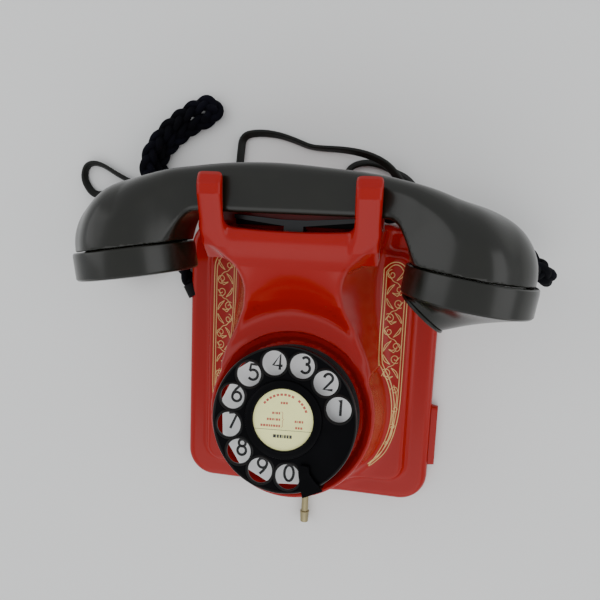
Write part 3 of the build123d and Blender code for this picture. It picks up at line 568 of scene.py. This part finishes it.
def in_plane(matrix, x, y, z):
    """Coordinates in a plane's own axes."""
    inv = np.array(matrix.inverted())
    return [inv[i, 0] * x + inv[i, 1] * y + inv[i, 2] * z + inv[i, 3] for i in range(3)]


def cup_field(cup, r, x, y, z):
    """Radius and height in a cup's own axes, and the distance to its dome."""
    u, v, h = in_plane(cup, x, y, z)
    rho = np.hypot(u, v)
    dome = np.sqrt(rho**2 + np.maximum(h - 1.0, 0) ** 2) - r
    return rho, h, dome


def handset_field(x, y, z):
    """The handle and its two cups, cut off and bored out at their seams."""
    over = eased(x, OVER_X, OVER_Y)
    under = eased(x, UNDER_X, UNDER_Y)
    deep = eased(x, DEPTH_X, DEPTH)
    middle = (over + under) / 2
    half = np.maximum((over - under) / 2, 6.0)
    upper_r = np.minimum(eased(np.abs(x), CORNER_X, CORNER_R), np.minimum(half, deep) - 0.5)
    r = np.where(y < middle, 3.2, upper_r)
    qy = np.abs(y - middle) - half + r
    qz = np.abs(z - HANDLE_Z) - deep + r
    handle = np.hypot(np.maximum(qy, 0), np.maximum(qz, 0)) + np.minimum(np.maximum(qy, qz), 0) - r
    handle = smax(handle * 0.9, np.abs(x) - HANDLE_REACH, 10.0)
    ear_rho, ear_h, ear = cup_field(EAR, EAR_R, x, y, z)
    mouth_rho, mouth_h, mouth = cup_field(MOUTH, MOUTH_R, x, y, z)
    body = smin(handle, smin(ear, mouth, 1.0), 9.0)
    for rho, h in ((ear_rho, ear_h), (mouth_rho, mouth_h)):
        seam = np.where(rho < CUP_ZONE_R, -h, -1e3)
        body = smax(body, seam, 0.8)
        body = smax(body, -np.maximum(rho - CUP_BORE_R, h - CUP_BORE_H), 0.5)
    return body


field_mesh(
    "handset body", handset_field, (-116, 62, 39), (120, 116, 101), 1.2, BLACK, "handset", ["handset_shell"]
)

CAP = [
    (20.0, -CAP_H + 1.2), (21.0, -CAP_H), (29.3, -CAP_H), (30.5, -CAP_H + 0.4),
    (CAP_R, -CAP_H + 1.3), (CAP_R, -CAP_H + 5), (CAP_R, -2.5), (CAP_R - 0.2, -1.0), (CAP_R - 0.9, -0.4),
    (28.5, -0.3), (28.0, -1.5), (28.0, -CAP_H + 3), (20.0, -CAP_H + 3),
]
lathe("ear cap", CAP, BLACK, "handset", EAR, 144, ["ear_cap"])
lathe("mouth cap", CAP, BLACK, "handset", MOUTH, 144, ["mouth_cap"])
SOUND_HOLE_R = 1.5
SOUND_HOLES = [circle(SOUND_HOLE_R, steps=24)] + [
    circle(SOUND_HOLE_R, *at_angle(r, 2 * math.pi * k / n), 24)
    for r, n in ((6.0, 6), (11.5, 12))
    for k in range(n)
]
holed = [circle(20.3, steps=96)] + SOUND_HOLES
for name, cup in (("ear plate", EAR), ("mouth plate", MOUTH)):
    cut_sheet(name, holed, -CAP_H + 1.3, -CAP_H + 2.9, BLACK, "handset", cup, 0.2)

HORN_STEPS, HORN_ROWS = 96, 12
HORN_WAIST = 0.1
HORN_OUTSIDE = (29.2, 12.7, 0.0)  # radius at the cap, radius at the mouth, height above the cap's face
HORN_INSIDE = (20.5, 10.8, 0.8)
HORN_LIP = ((13.2, 0.2), (13.3, 1.0), (12.8, 1.6), (11.6, 1.6), (10.9, 0.9))


def horn_wall(turns, root_r, tip_r, lift):
    """Rings from the lower cap to the horn's mouth, drawn in a little half way."""
    cap_middle = MOUTH @ Vector((0, 0, -CAP_H))
    tip_middle = HORN @ Vector((0, 0, 0))
    wall = []
    for i in range(HORN_ROWS + 1):
        t = i / HORN_ROWS
        waist = 1 - HORN_WAIST * math.sin(math.pi * t)
        middle = cap_middle.lerp(tip_middle, t)
        ring = []
        for turn in turns:
            root = MOUTH @ Vector((*at_angle(root_r, turn), -CAP_H + lift))
            tip = HORN @ Vector((*at_angle(tip_r, -turn), 0))
            ring.append(middle + (root.lerp(tip, t) - middle) * waist)
        wall.append(ring)
    return wall


def horn():
    """The mouthpiece: a slanting horn from the lower cap to a ring, and back inside it."""
    turns = [2 * math.pi * k / HORN_STEPS for k in range(HORN_STEPS)]
    lip = [[HORN @ Vector((*at_angle(r, -turn), h)) for turn in turns] for r, h in HORN_LIP]
    rings = horn_wall(turns, *HORN_OUTSIDE) + lip + horn_wall(turns, *HORN_INSIDE)[::-1]
    points = [tuple(spot) for ring in rings for spot in ring]
    creased(piece("mouth horn", points, ring_faces(len(rings), HORN_STEPS), BLACK, "handset"), 40)


horn()

# ---------------------------------------------------------------- dial


def around(first, step):
    """Ten spots round the dial, anticlockwise from that direction."""
    return [at_angle(HOLE_PITCH_R, math.radians(first + step * k)) for k in range(10)]


WHEEL_RIM = [
    (36.7, -1.2), (36.7, -0.1), (37.2, 0.5), (37.8, 0.6),
    (WHEEL_R, 0.1), (WHEEL_R, -2.2), (37.6, -2.6), (37.0, -2.4),
]
COLLAR = [
    (HOLE_R, -1.2), (HOLE_R - 0.1, 0.1), (HOLE_R + 0.3, 0.5),
    (HOLE_R + 0.8, 0.45), (HOLE_R + 1.3, 0.0), (HOLE_R + 1.0, -0.3),
]
LABEL_RING = [(15.9, 0), (16.0, 1.5), (16.6, 1.9), (17.6, 1.6), (19.2, 1.7), (20.2, 1.2), (20.6, 0.0)]
PLATE_BORE_R = 9

hole_spots = around(FIRST_HOLE, HOLE_STEP)
wheel_lines = [circle(WHEEL_R - 0.8, steps=128)] + [circle(HOLE_R, *spot) for spot in hole_spots]
cut_sheet("finger wheel", wheel_lines, -1.2, 0.0, DIAL_BLACK, "dial_rotor", DIAL, 0.3, ["finger_wheel"])
lathe("wheel rim", WHEEL_RIM, WEAR_AND_SHEEN_BLACK, "dial_rotor", DIAL, 160)
for k, spot in enumerate(hole_spots):
    lathe(f"collar {k}", COLLAR, WEAR_AND_SHEEN_BLACK, "dial_rotor", DIAL @ Matrix.Translation((*spot, 0)), 64)
lathe("label ring", LABEL_RING, DIAL_BLACK, "dial_rotor", DIAL, 96, ["label_ring"])
card_line, window_line = circle(15.95, steps=96), circle(15.7, steps=96)
cut_sheet("label card", [card_line], 0.0, CARD_Z, CARD, "dial_rotor", DIAL, 0.05, ["label_card"])
cut_sheet("label window", [window_line], 0.9, 1.2, CLEAR, "dial_rotor", DIAL, 0.05, ["label_window"])
plate_lines = [polygon(PLATE_SIDES, PLATE_APOTHEM, PLATE_TURN), circle(PLATE_BORE_R)]
cut_sheet(
    "number plate", plate_lines, -PLATE_DROP - 1, -PLATE_DROP, ENAMEL, "base", DIAL, 0.15, ["number_plate"]
)


def arc(x, y, r, start, end, steps=20, squeeze=1.0):
    """Points on an arc, angles in degrees."""
    turns = [math.radians(start + (end - start) * k / steps) for k in range(steps + 1)]
    return [(x + r * squeeze * math.cos(a), y + r * math.sin(a)) for a in turns]


# Each figure as strokes about its middle, 8.3 mm high.
NINE = [arc(0, 1.65, 2.45, 0, 360, 32), [(2.4, 1.3), (1.9, -0.4), (0.6, -2.3), (-1.2, -4.15)]]
FIGURES = {
    1: [[(-1.0, 3.3), (0.1, 4.15), (0.1, -4.15)]],
    2: [arc(0, 1.9, 2.25, 175, -35) + [(-2.2, -4.1), (2.5, -4.1)]],
    3: [arc(0, 2.15, 1.95, 150, -90), arc(0, -1.75, 2.4, 90, -150)],
    4: [[(1.1, -4.15), (1.1, 4.0), (-2.6, -2.0), (2.5, -2.0)]],
    5: [[(2.1, 4.1), (-1.4, 4.1), (-1.9, 0.7)] + arc(-0.1, -1.45, 2.65, 128, -145)],
    6: [[(-x, -y) for x, y in stroke] for stroke in NINE],
    7: [[(-2.3, 4.1), (2.3, 4.1), (-1.1, -4.15)]],
    8: [arc(0, 2.2, 1.85, 0, 360, 32), arc(0, -1.8, 2.35, 0, 360, 32)],
    9: NINE,
    0: [arc(0, 0, 4.1, 0, 360, 40, 0.6)],
}
FIGURE_W, FIGURE_H = 1.4, 0.08
on_plate = DIAL @ Matrix.Translation((0, 0, -PLATE_DROP))
for k, (x, y) in enumerate(around(FIRST_FIGURE, FIGURE_STEP)):
    figure = (k + 1) % 10
    strokes = [[(x + a, y + b) for a, b in stroke] for stroke in FIGURES[figure]]
    ribbon(f"figure {figure}", strokes, FIGURE_W, FIGURE_H, INK, "base", on_plate)

BLOCK_GAP = 0.35


def marks(x, y, widths):
    """A row of plain blocks standing for a line of print, centred at a point."""
    lines = []
    at = x - (sum(widths) + BLOCK_GAP * (len(widths) - 1)) / 2
    for wide in widths:
        lines.append([(at, y), (at + wide, y)])
        at += wide + BLOCK_GAP
    return lines


def printed(name, lines, width, mat):
    """Print on the card, which is turned a little in its ring."""
    on_card = DIAL @ Matrix.Translation((0, 0, CARD_Z)) @ Matrix.Rotation(math.radians(2), 4, "Z")
    ribbon(name, lines, width, PRINT_H, mat, "dial_rotor", on_card)


red_print = (
    marks(0.4, 8.6, [0.9, 1.1, 1.0])
    + marks(-3.7, 3.2, [1.0, 0.4, 1.0, 0.8])
    + marks(-5.0, -0.1, [1.0, 1.1, 0.9, 0.4, 1.1, 0.8])
    + marks(-6.6, -3.4, [1.1, 1.2, 1.0, 0.9, 0.8, 1.1, 1.0, 0.9])
    + marks(8.4, -0.6, [1.0, 0.4, 1.2, 0.8])
    + marks(8.4, -3.8, [1.0, 1.0, 1.0])
)
ARCHED_R, ARCHED_START, ARCHED_STEP, ARCHED_BLOCK = 12.9, 143, 9.0, 6.0
for k in range(14):
    # The tenth place is the space between two words.
    if k != 9:
        start = ARCHED_START - ARCHED_STEP * k
        red_print.append(arc(0, 0, ARCHED_R, start, start - ARCHED_BLOCK, 4))
brace = [(-0.8, 4.0), (-0.2, 3.6), (-0.2, 0.6), (0.4, 0.1), (-0.2, -0.4), (-0.2, -3.6), (-0.8, -4.0)]
printed("card red print", red_print, 1.2, RED_INK)
printed("card brace", [brace], 0.25, RED_INK)
printed("card rule", [[(-14.9, -5.4), (14.9, -5.4)]], 0.22, INK)
printed("card black print", marks(0, -8.6, [1.6, 1.2, 1.1, 0.5, 1.0, 1.1, 1.3]), 1.7, INK)

# ---------------------------------------------------------------- gold lines on the panel


DRAPE_LOW, DRAPE_HIGH = 12.0, 36.0  # heights inside and outside the cover wherever the lines run


def draped(thing, lift):
    """Lays a flat piece on the cover: its heights become heights above the cover's surface."""
    spots = np.array([v.co for v in thing.data.vertices]) / MM
    inside, outside = np.full(len(spots), DRAPE_LOW), np.full(len(spots), DRAPE_HIGH)
    for _ in range(18):
        middle = (inside + outside) / 2
        hit = cover_field(spots[:, 0], spots[:, 1], middle) < 0
        inside, outside = np.where(hit, middle, inside), np.where(hit, outside, middle)
    spots[:, 2] += outside + lift
    thing.data.vertices.foreach_set("co", (spots * MM).ravel())
    thing.data.update()


def curl(x, y, r, start, turns, steps=26):
    """A spiral from near its centre outwards, starting at an angle in degrees."""
    line = []
    for k in range(steps + 1):
        turn = math.radians(start) + turns * 2 * math.pi * k / steps
        line.append(at_angle(r * (0.18 + 0.82 * k / steps), turn, x, y))
    return line


def bowed(points, steps=8):
    """A smooth line through points."""
    p = np.array(points, float)
    p = np.vstack([2 * p[0] - p[1], p, 2 * p[-1] - p[-2]])
    line = []
    for before, here, there, after in zip(p, p[1:], p[2:], p[3:]):
        square = 2 * before - 5 * here + 4 * there - after
        cube = 3 * here - before - 3 * there + after
        for k in range(steps):
            t = k / steps
            line.append(tuple(0.5 * (2 * here + (there - before) * t + square * t**2 + cube * t**3)))
    return line + [tuple(p[-2])]


def border(inset):
    """The outline of one gold panel, round at the top, following the dial's foot below."""
    near, far = 43.8 + inset, 57.8 - inset
    foot = [at_angle(53.2 + inset, math.radians(a), 0, FOOT_Y) for a in (30, 18, 6, -6, -18, -30)]
    inner = [(near, 59.5 - inset), (near, 40), (near, 20), (44.4 + inset, 8)] + foot
    outer = [
        (41.9 - inset * 0.5, -59.3 + inset), (49.8 - inset, -51.4 + inset * 0.7), (53.9 - inset, -42.5),
        (56.4 - inset, -32), (57.6 - inset, -20), (far, 0), (far, 30), (far, 52),
    ]
    top = [
        (57.0 - inset, 58.5 - inset), (54.2 - inset * 0.6, 62.4 - inset),
        (50.6, 63.6 - inset), (47.0 + inset * 0.6, 62.6 - inset),
    ]
    return bowed(inner + outer + top + inner[:1])


SCROLL_X = 50.8
STEM = [(4.8, 5.5), (1.6, 0.8), (-1.6, -0.8), (-4.8, -5.5)]
LEAF = [(-0.4, 1.0), (-3.6, 3.4), (-4.6, 7.0), (-2.6, 4.0), (-0.4, 1.0)]
FAR_LEAF = [(-x, -y) for x, y in LEAF]
BUD = [(-1.2, -8.0), (-2.6, -6.2), (-0.4, -6.6), (1.6, -6.2), (-1.2, -8.0)]
TAIL = [(53.4, -8.2), (55.6, -17.0), (53.8, -27.5), (54.2, -37.5), (50.6, -46.5), (46.5, -53.0)]
GOLD_W, GOLD_H, GOLD_LIFT = 0.5, 0.05, 0.03


def scrolls():
    """The lines inside the borders: a twining stem with leaves and curls, turned over at each repeat."""
    lines = []
    for k, y in enumerate((52.0, 35.5, 19.0, 3.0)):
        flip = 1 if k % 2 else -1
        lines.append(curl(SCROLL_X + flip * 2.4, y + 4.4, 2.9, 200, 1.3 * flip))
        lines.append(curl(SCROLL_X - flip * 2.4, y - 4.4, 2.9, 20, 1.3 * flip))
        for shape in (STEM, LEAF, FAR_LEAF, BUD):
            lines.append(bowed([(SCROLL_X + flip * a, y + b) for a, b in shape]))
    lines += [curl(54.0, -11.5, 2.6, 90, 1.3), curl(55.0, -22.5, 1.9, 260, -1.2)]
    lines += [curl(54.0, -33.5, 1.8, 80, 1.2), curl(51.2, -43.5, 1.5, 240, -1.2)]
    return lines + [bowed(TAIL)]


for name, side in SIDES:
    edges = [[(side * x, y) for x, y in border(inset)] for inset in (0.0, 1.5)]
    curls = [[(side * x, y) for x, y in line] for line in scrolls()]
    draped(ribbon(f"gold border {name}", edges, GOLD_W, GOLD_H, GOLD, "base", None), GOLD_LIFT)
    draped(ribbon(f"gold scrolls {name}", curls, 0.42, GOLD_H, GOLD, "base", None), GOLD_LIFT)

HOOK_LIP = ((31, 82.5), (7, 82.5), (7, 83.0), (31, 85.8))
HOOK_LIP_Z, HOOK_LIP_H = 58.6, 4.0
for name, side in SIDES:
    lip = [(side * x, y) for x, y in HOOK_LIP][::side]
    at = Matrix.Translation((0, 0, HOOK_LIP_Z))
    cut_sheet(f"hook lip {name}", [lip], 0, HOOK_LIP_H, DIAL_BLACK, "hook", at, 0.2)

# ---------------------------------------------------------------- carried over pieces

FINISH = {
    RED: ["side_lug"],
    OLD_BRASS: ["cover_stud"],
    RUBBER: ["line_gland", "plait_gland"],
    SATIN: ["handset_gland", "terminal_block", "dial_case", "line_plug"],
    DIAL_BLACK: ["finger_stop"],
    HOOK_BLACK: ["hook_bar"],
    COPPER: ["induction_coil", "ringer_coils"],
    DULL: ["receiver_capsule", "transmitter_capsule"],
    BRASS: [
        "terminal_screws", "gong_left", "gong_right", "hook_contacts", "governor_cup", "impulse_contacts",
        "main_gear", "impulse_cam", "governor_weights", "handset_terminals",
    ],
    STEEL: [
        "back_plate", "plate_screws", "capacitor", "ringer_frame", "gong_screws", "gong_posts", "clapper",
        "hook_bracket", "hook_spring", "dial_front_plate", "dial_rear_plate", "dial_pillars", "mainspring",
        "dial_shaft", "governor_spindle",
    ],
}
for mat, nodes in FINISH.items():
    for node in nodes:
        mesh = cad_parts[node].data
        mesh.materials.clear()
        mesh.materials.append(mat)

# ---------------------------------------------------------------- cords

PLAIT_ROUTE = [
    HANDSET_EXIT @ Vector((0, 0, 8.3)),
    HANDSET_EXIT @ Vector((0, 0, 16.3)),
    (129.0, 61.0, 33.5),
    (131.0, 60.5, 23.5),
    (127.5, 65.5, 14.5),
    (118.0, 74.0, 10.6),
    (103.0, 82.5, 10.6),
    (87.0, 87.5, 10.8),
    (68.0, 90.3, 10.8),
    (46.0, 89.4, 10.5),
    (24.0, 90.2, 10.8),
    (2.0, 89.2, 10.0),
    (-20.0, 90.0, 6.0),
    (-42.0, 89.2, 5.2),
    (-61.0, 91.0, 7.8),
    (-77.0, 95.5, 9.0),
    (-89.5, 101.5, 6.5),
    (-99.5, 110.5, 5.0),
    (-98.8, 120.0, 4.8),
    (-91.0, 128.5, 4.8),
    (-82.5, 135.5, 4.8),
    (-73.5, 140.5, 4.8),
    (-66.0, 143.5, 4.8),
    (-62.6, 148.5, 5.0),
    (-67.0, 152.5, 5.6),
    (-73.5, 150.5, 6.4),
    (-80.5, 146.2, 7.4),
    (-88.0, 140.6, 8.4),
    (-96.0, 132.3, 10.0),
    (-102.0, 123.0, 12.0),
    (-104.5, 112.5, 13.0),
    (-101.5, 101.5, 12.5),
    (-95.5, 91.5, 9.0),
    (-89.0, 83.0, 5.2),
    (-85.5, 72.0, 4.2),
    (-85.0, 61.5, 4.3),
    PLAIT_ENTRY @ Vector((0, 0, 11.5)),
    PLAIT_ENTRY @ Vector((0, 0, 2.0)),
]
LINE_ROUTE = [
    LINE_EXIT @ Vector((0, 0, 5.0)),
    LINE_EXIT @ Vector((0, 0, 13.5)),
    (16.5, 107.0, 2.5),
    (18.5, 116.5, 2.5),
    (27.0, 119.9, 2.5),
    (36.5, 118.8, 2.5),
    (45.0, 114.8, 2.5),
    (52.5, 111.8, 2.5),
    (58.5, 105.5, 2.5),
    (63.0, 98.0, 2.5),
    (64.5, 90.0, 2.5),
    (74.5, 81.5, 2.5),
    (81.0, 71.0, 2.5),
    (88.0, 62.0, 2.5),
    (98.5, 58.5, 2.5),
    (109.0, 62.0, 2.5),
    (115.0, 71.0, 2.5),
    (114.0, 82.0, 2.5),
    (106.0, 89.0, 2.5),
    (94.0, 93.0, 2.5),
    (81.0, 95.5, 2.7),
    (68.0, 97.8, 4.0),
    (56.5, 102.0, 7.0),
    (49.0, 109.5, 9.0),
    (42.0, 118.0, 9.0),
    (31.0, 123.4, 8.0),
    (19.0, 126.0, 5.5),
    (7.0, 127.0, 3.0),
    (-4.5, 127.5, 2.5),
    (-14.0, 131.3, 2.5),
    (-25.0, 134.6, 2.5),
    (-37.5, 135.6, 2.5),
    (-46.8, 133.5, 2.5),
    (-47.8, 123.5, 2.5),
    (-48.5, 113.5, 2.5),
    (-54.0, 112.0, 2.5),
    (-62.5, 104.0, 2.5),
    (-75.0, 102.5, 2.5),
    (-90.0, 105.5, 2.5),
    (-105.5, 101.0, 2.5),
    (-117.0, 102.5, 2.5),
    (-129.0, 108.0, 2.5),
    (-141.5, 115.0, 2.5),
    (-150.2, 114.5, 2.5),
    (-153.0, 106.0, 2.5),
    (-149.2, 98.2, 2.5),
    (-143.5, 94.0, 2.5),
]


def coil_points():
    """The put-away length: turns laid on each other outside, then inside, ending at the plug's boot."""
    spots = []
    for k in range(COIL_LAYERS * COIL_STEPS):
        turn = k / COIL_STEPS
        r = COIL_OUTER + max(0.0, 1.2 - k * 0.6)
        spots.append((r, turn, COIL_PITCH * min(turn, COIL_LAYERS - 1)))
    for k in range(COIL_LAYERS * COIL_STEPS - 2):
        turn = k / COIL_STEPS
        spots.append((COIL_INNER, turn + COIL_LAYERS, COIL_PITCH * max(COIL_LAYERS - 1 - turn, 0)))
    points = []
    for k, (r, turn, lift) in enumerate(spots):
        share = min((len(spots) - 1 - k) / 6, 1)
        middle = (COIL_X + COIL_SHIFT_X * share, COIL_Y + COIL_SHIFT_Y * share)
        points.append((*at_angle(r, math.radians(COIL_START) - 2 * math.pi * turn, *middle), COIL_Z + lift))
    return points


def centreline(name, route, step):
    """Even points along a smooth curve with those control points, and its length, in millimetres."""
    curve = bpy.data.curves.new(name, "CURVE")
    curve.dimensions = "3D"
    spline = curve.splines.new("NURBS")
    spline.points.add(len(route) - 1)
    for point, spot in zip(spline.points, route):
        point.co = (*spot, 1)
    spline.order_u = 3
    spline.use_endpoint_u = True
    spline.resolution_u = 12
    curve.resolution_u = 12
    mesh = curve_mesh(curve)
    spots = np.array([v.co for v in mesh.vertices])
    bpy.data.meshes.remove(mesh)
    along = np.r_[0, np.cumsum(np.linalg.norm(np.diff(spots, axis=0), axis=1))]
    even = np.linspace(0, along[-1], int(along[-1] / step) + 1)
    return np.stack([np.interp(even, along, spots[:, k]) for k in range(3)], 1), along[-1]


def frames(path):
    """A sideways and an upward vector at each point of a path, turning as little as they can."""
    ahead = np.gradient(path, axis=0)
    ahead /= np.linalg.norm(ahead, axis=1)[:, None]
    middle = len(path) // 2
    ups = np.zeros_like(path)
    ups[middle] = (0, 0, 1)
    for order in (range(middle + 1, len(path)), range(middle - 1, -1, -1)):
        last = ups[middle]
        for i in order:
            last = last - ahead[i] * last.dot(ahead[i])
            last = last / np.linalg.norm(last)
            ups[i] = last
    ups -= ahead * (ups * ahead).sum(1)[:, None]
    ups /= np.linalg.norm(ups, axis=1)[:, None]
    return np.cross(ahead, ups), ups


def swept(path, side, up, section, first=0):
    """Points and faces of a closed section, given per point as (side, up) offsets, along a path."""
    count = section.shape[1]
    spots = path[:, None] + section[..., :1] * side[:, None] + section[..., 1:] * up[:, None]
    faces = []
    for i in range(len(path) - 1):
        here, there = first + i * count, first + (i + 1) * count
        for k in range(count):
            m = (k + 1) % count
            faces.append((here + k, here + m, there + m, there + k))
    last = first + (len(path) - 1) * count
    faces.append(tuple(range(first + count - 1, first - 1, -1)))
    faces.append(tuple(range(last, last + count)))
    return spots.reshape(-1, 3).tolist(), faces


def turned(side, up, angle):
    """The same two vectors turned about the path by an angle at each point."""
    c, s = np.cos(angle)[:, None], np.sin(angle)[:, None]
    return c * side + s * up, -s * side + c * up


PLAIT_STEP, LINE_STEP = 1.0, 1.5
STRAND_R, PLAIT_PITCH, PLAIT_WIDE, PLAIT_DEEP = 2.2, 27.0, 2.9, 1.3
STRAND_STEPS, STRAND_BULGE = 14, 0.07
PLAIT_ROLL, PLAIT_ROLL_STEPS = 0.9, 61.0  # the flat plait leans to both sides by turns
STRAND_GAP, FLOOR_GAP = 0.1, 0.15  # of a strand and of the line cord, from the floor


def plaited(path):
    """Points and faces of three strands that cross each other, kept above the floor."""
    points, faces = [], []
    side, up = frames(path)
    count = np.arange(len(path))
    flat, thin = turned(side, up, PLAIT_ROLL * np.sin(count / PLAIT_ROLL_STEPS))
    ring = np.linspace(0, 2 * math.pi, STRAND_STEPS, endpoint=False)
    for strand in range(3):
        phase = 2 * math.pi * count / PLAIT_PITCH + strand * 2 * math.pi / 3
        across, through = PLAIT_WIDE * np.sin(phase), PLAIT_DEEP * np.sin(2 * phase)
        line = path + flat * across[:, None] + thin * through[:, None]
        bulge = STRAND_R * (1 + STRAND_BULGE * np.sin(phase * 2 + 1))
        line[:, 2] = np.maximum(line[:, 2], bulge + STRAND_GAP)
        section = np.stack([np.cos(ring)[None] * bulge[:, None], np.sin(ring)[None] * bulge[:, None]], 2)
        more, more_faces = swept(line, *frames(line), section, len(points))
        points += more
        faces += more_faces
    return points, faces


LAID_LENGTH, LAID_Z = 500, 3.2  # nearer than the coil and lower than that, the cord sinks to the floor
LINE_HALF_W, LINE_HALF_H = LINE_D / 2, 1.15
LINE_TOP = [(2.25, 0.75), (1.6, LINE_HALF_H), (0.4, 1.0), (-0.4, 1.0), (-1.6, LINE_HALF_H), (-2.25, 0.75)]
LINE_SECTION = [(LINE_HALF_W, 0.0), *LINE_TOP, (-LINE_HALF_W, 0.0), *[(-x, -y) for x, y in LINE_TOP]]
# Distance along the line cord, and how far it stands on its edge there, from 0 to 1.
EDGEWISE = [
    (0, 0.0), (25, 0.55), (80, 0.7), (110, 0.9), (150, 0.5), (210, 0.1), (300, 0.8),
    (380, 0.2), (418, 0.1), (440, 0.75), (475, 0.8), (505, 0.0), (3000, 0.0),
]


def flat_laid(path):
    """Points and faces of the flat cord, which leans on its edge in places and sinks to the floor."""
    ahead = np.gradient(path, axis=0)
    ahead /= np.linalg.norm(ahead, axis=1)[:, None]
    side = np.cross(ahead, (0, 0, 1))
    side /= np.linalg.norm(side, axis=1)[:, None]
    up = np.cross(side, ahead)
    travel = np.arange(len(path)) * LINE_STEP
    lean = np.interp(travel, *zip(*EDGEWISE)) * math.pi / 2
    half_height = LINE_HALF_H * np.cos(lean) + LINE_HALF_W * np.sin(lean)
    sink = np.maximum(path[:, 2] - FLOOR_GAP - half_height, 0)
    sink = np.where((path[:, 2] < LAID_Z) & (travel < LAID_LENGTH), sink, 0)
    section = np.broadcast_to(LINE_SECTION, (len(path), len(LINE_SECTION), 2))
    return swept(path - up * sink[:, None], *turned(side, up, lean), section)


plait_path, plait_length = centreline("plait line", PLAIT_ROUTE, PLAIT_STEP)
plait = piece("plaited cord", *plaited(plait_path), COTTON, None, replaces=["handset_cord"])
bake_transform(plait)

line_path, line_length = centreline("line cord line", LINE_ROUTE + coil_points(), LINE_STEP)
flat_cord = piece(
    "flat line cord", *flat_laid(line_path), CORD, "base", replaces=["line_cord", "line_cord_coil"]
)

# ---------------------------------------------------------------- stage

CAMERA_AT, CAMERA_TURN = (62.897, 91.242, 361.905), (-8.153, 11.421, 2.408)  # millimetres and degrees


def table_surface():
    """A plain pale surface."""
    mat = bpy.data.materials.new("pale table")
    mat.use_nodes = True
    shader = mat.node_tree.nodes["Principled BSDF"]
    shader.inputs["Base Color"].default_value = (0.8, 0.8, 0.785, 1)
    shader.inputs["Roughness"].default_value = 0.7
    return mat


floor_mesh = bpy.data.meshes.new("floor")
floor_mesh.from_pydata([(-3, -3, 0), (3, -3, 0), (3, 3, 0), (-3, 3, 0)], [], [(0, 1, 2, 3)])
floor_mesh.materials.append(table_surface())
floor = bpy.data.objects.new("floor", floor_mesh)
bpy.context.collection.objects.link(floor)


def lamp(name, at, to, size, power):
    """A soft rectangular lamp facing a point, in metres."""
    light = bpy.data.lights.new(name, "AREA")
    light.shape = "RECTANGLE"
    light.size, light.size_y = size
    light.energy = power
    thing = bpy.data.objects.new(name, light)
    thing.location = at
    thing.rotation_euler = (Vector(to) - Vector(at)).to_track_quat("-Z", "Y").to_euler()
    bpy.context.collection.objects.link(thing)


lamp("front", (0.1, -1.2, 1.3), (0, 0.02, 0.03), (2.0, 1.5), 9)
lamp("left", (-1.3, 0.5, 1.0), (0, 0, 0.03), (1.3, 1.3), 5)
lamp("right", (1.3, 0.1, 0.9), (0, 0, 0.03), (1.3, 1.0), 5)

world = bpy.data.worlds.new("soft room")
world.use_nodes = True
sky = world.node_tree.nodes["Background"]
sky.inputs["Color"].default_value = (0.9, 0.92, 0.95, 1)
sky.inputs["Strength"].default_value = 0.9
bpy.context.scene.world = world

camera_data = bpy.data.cameras.new("camera")
camera_data.sensor_width = 36
camera_data.lens = 36
camera_data.clip_start = 0.01
camera = bpy.data.objects.new("camera", camera_data)
camera.location = Vector(CAMERA_AT) * MM
camera.rotation_euler = [math.radians(a) for a in CAMERA_TURN]
bpy.context.collection.objects.link(camera)
bpy.context.scene.camera = camera
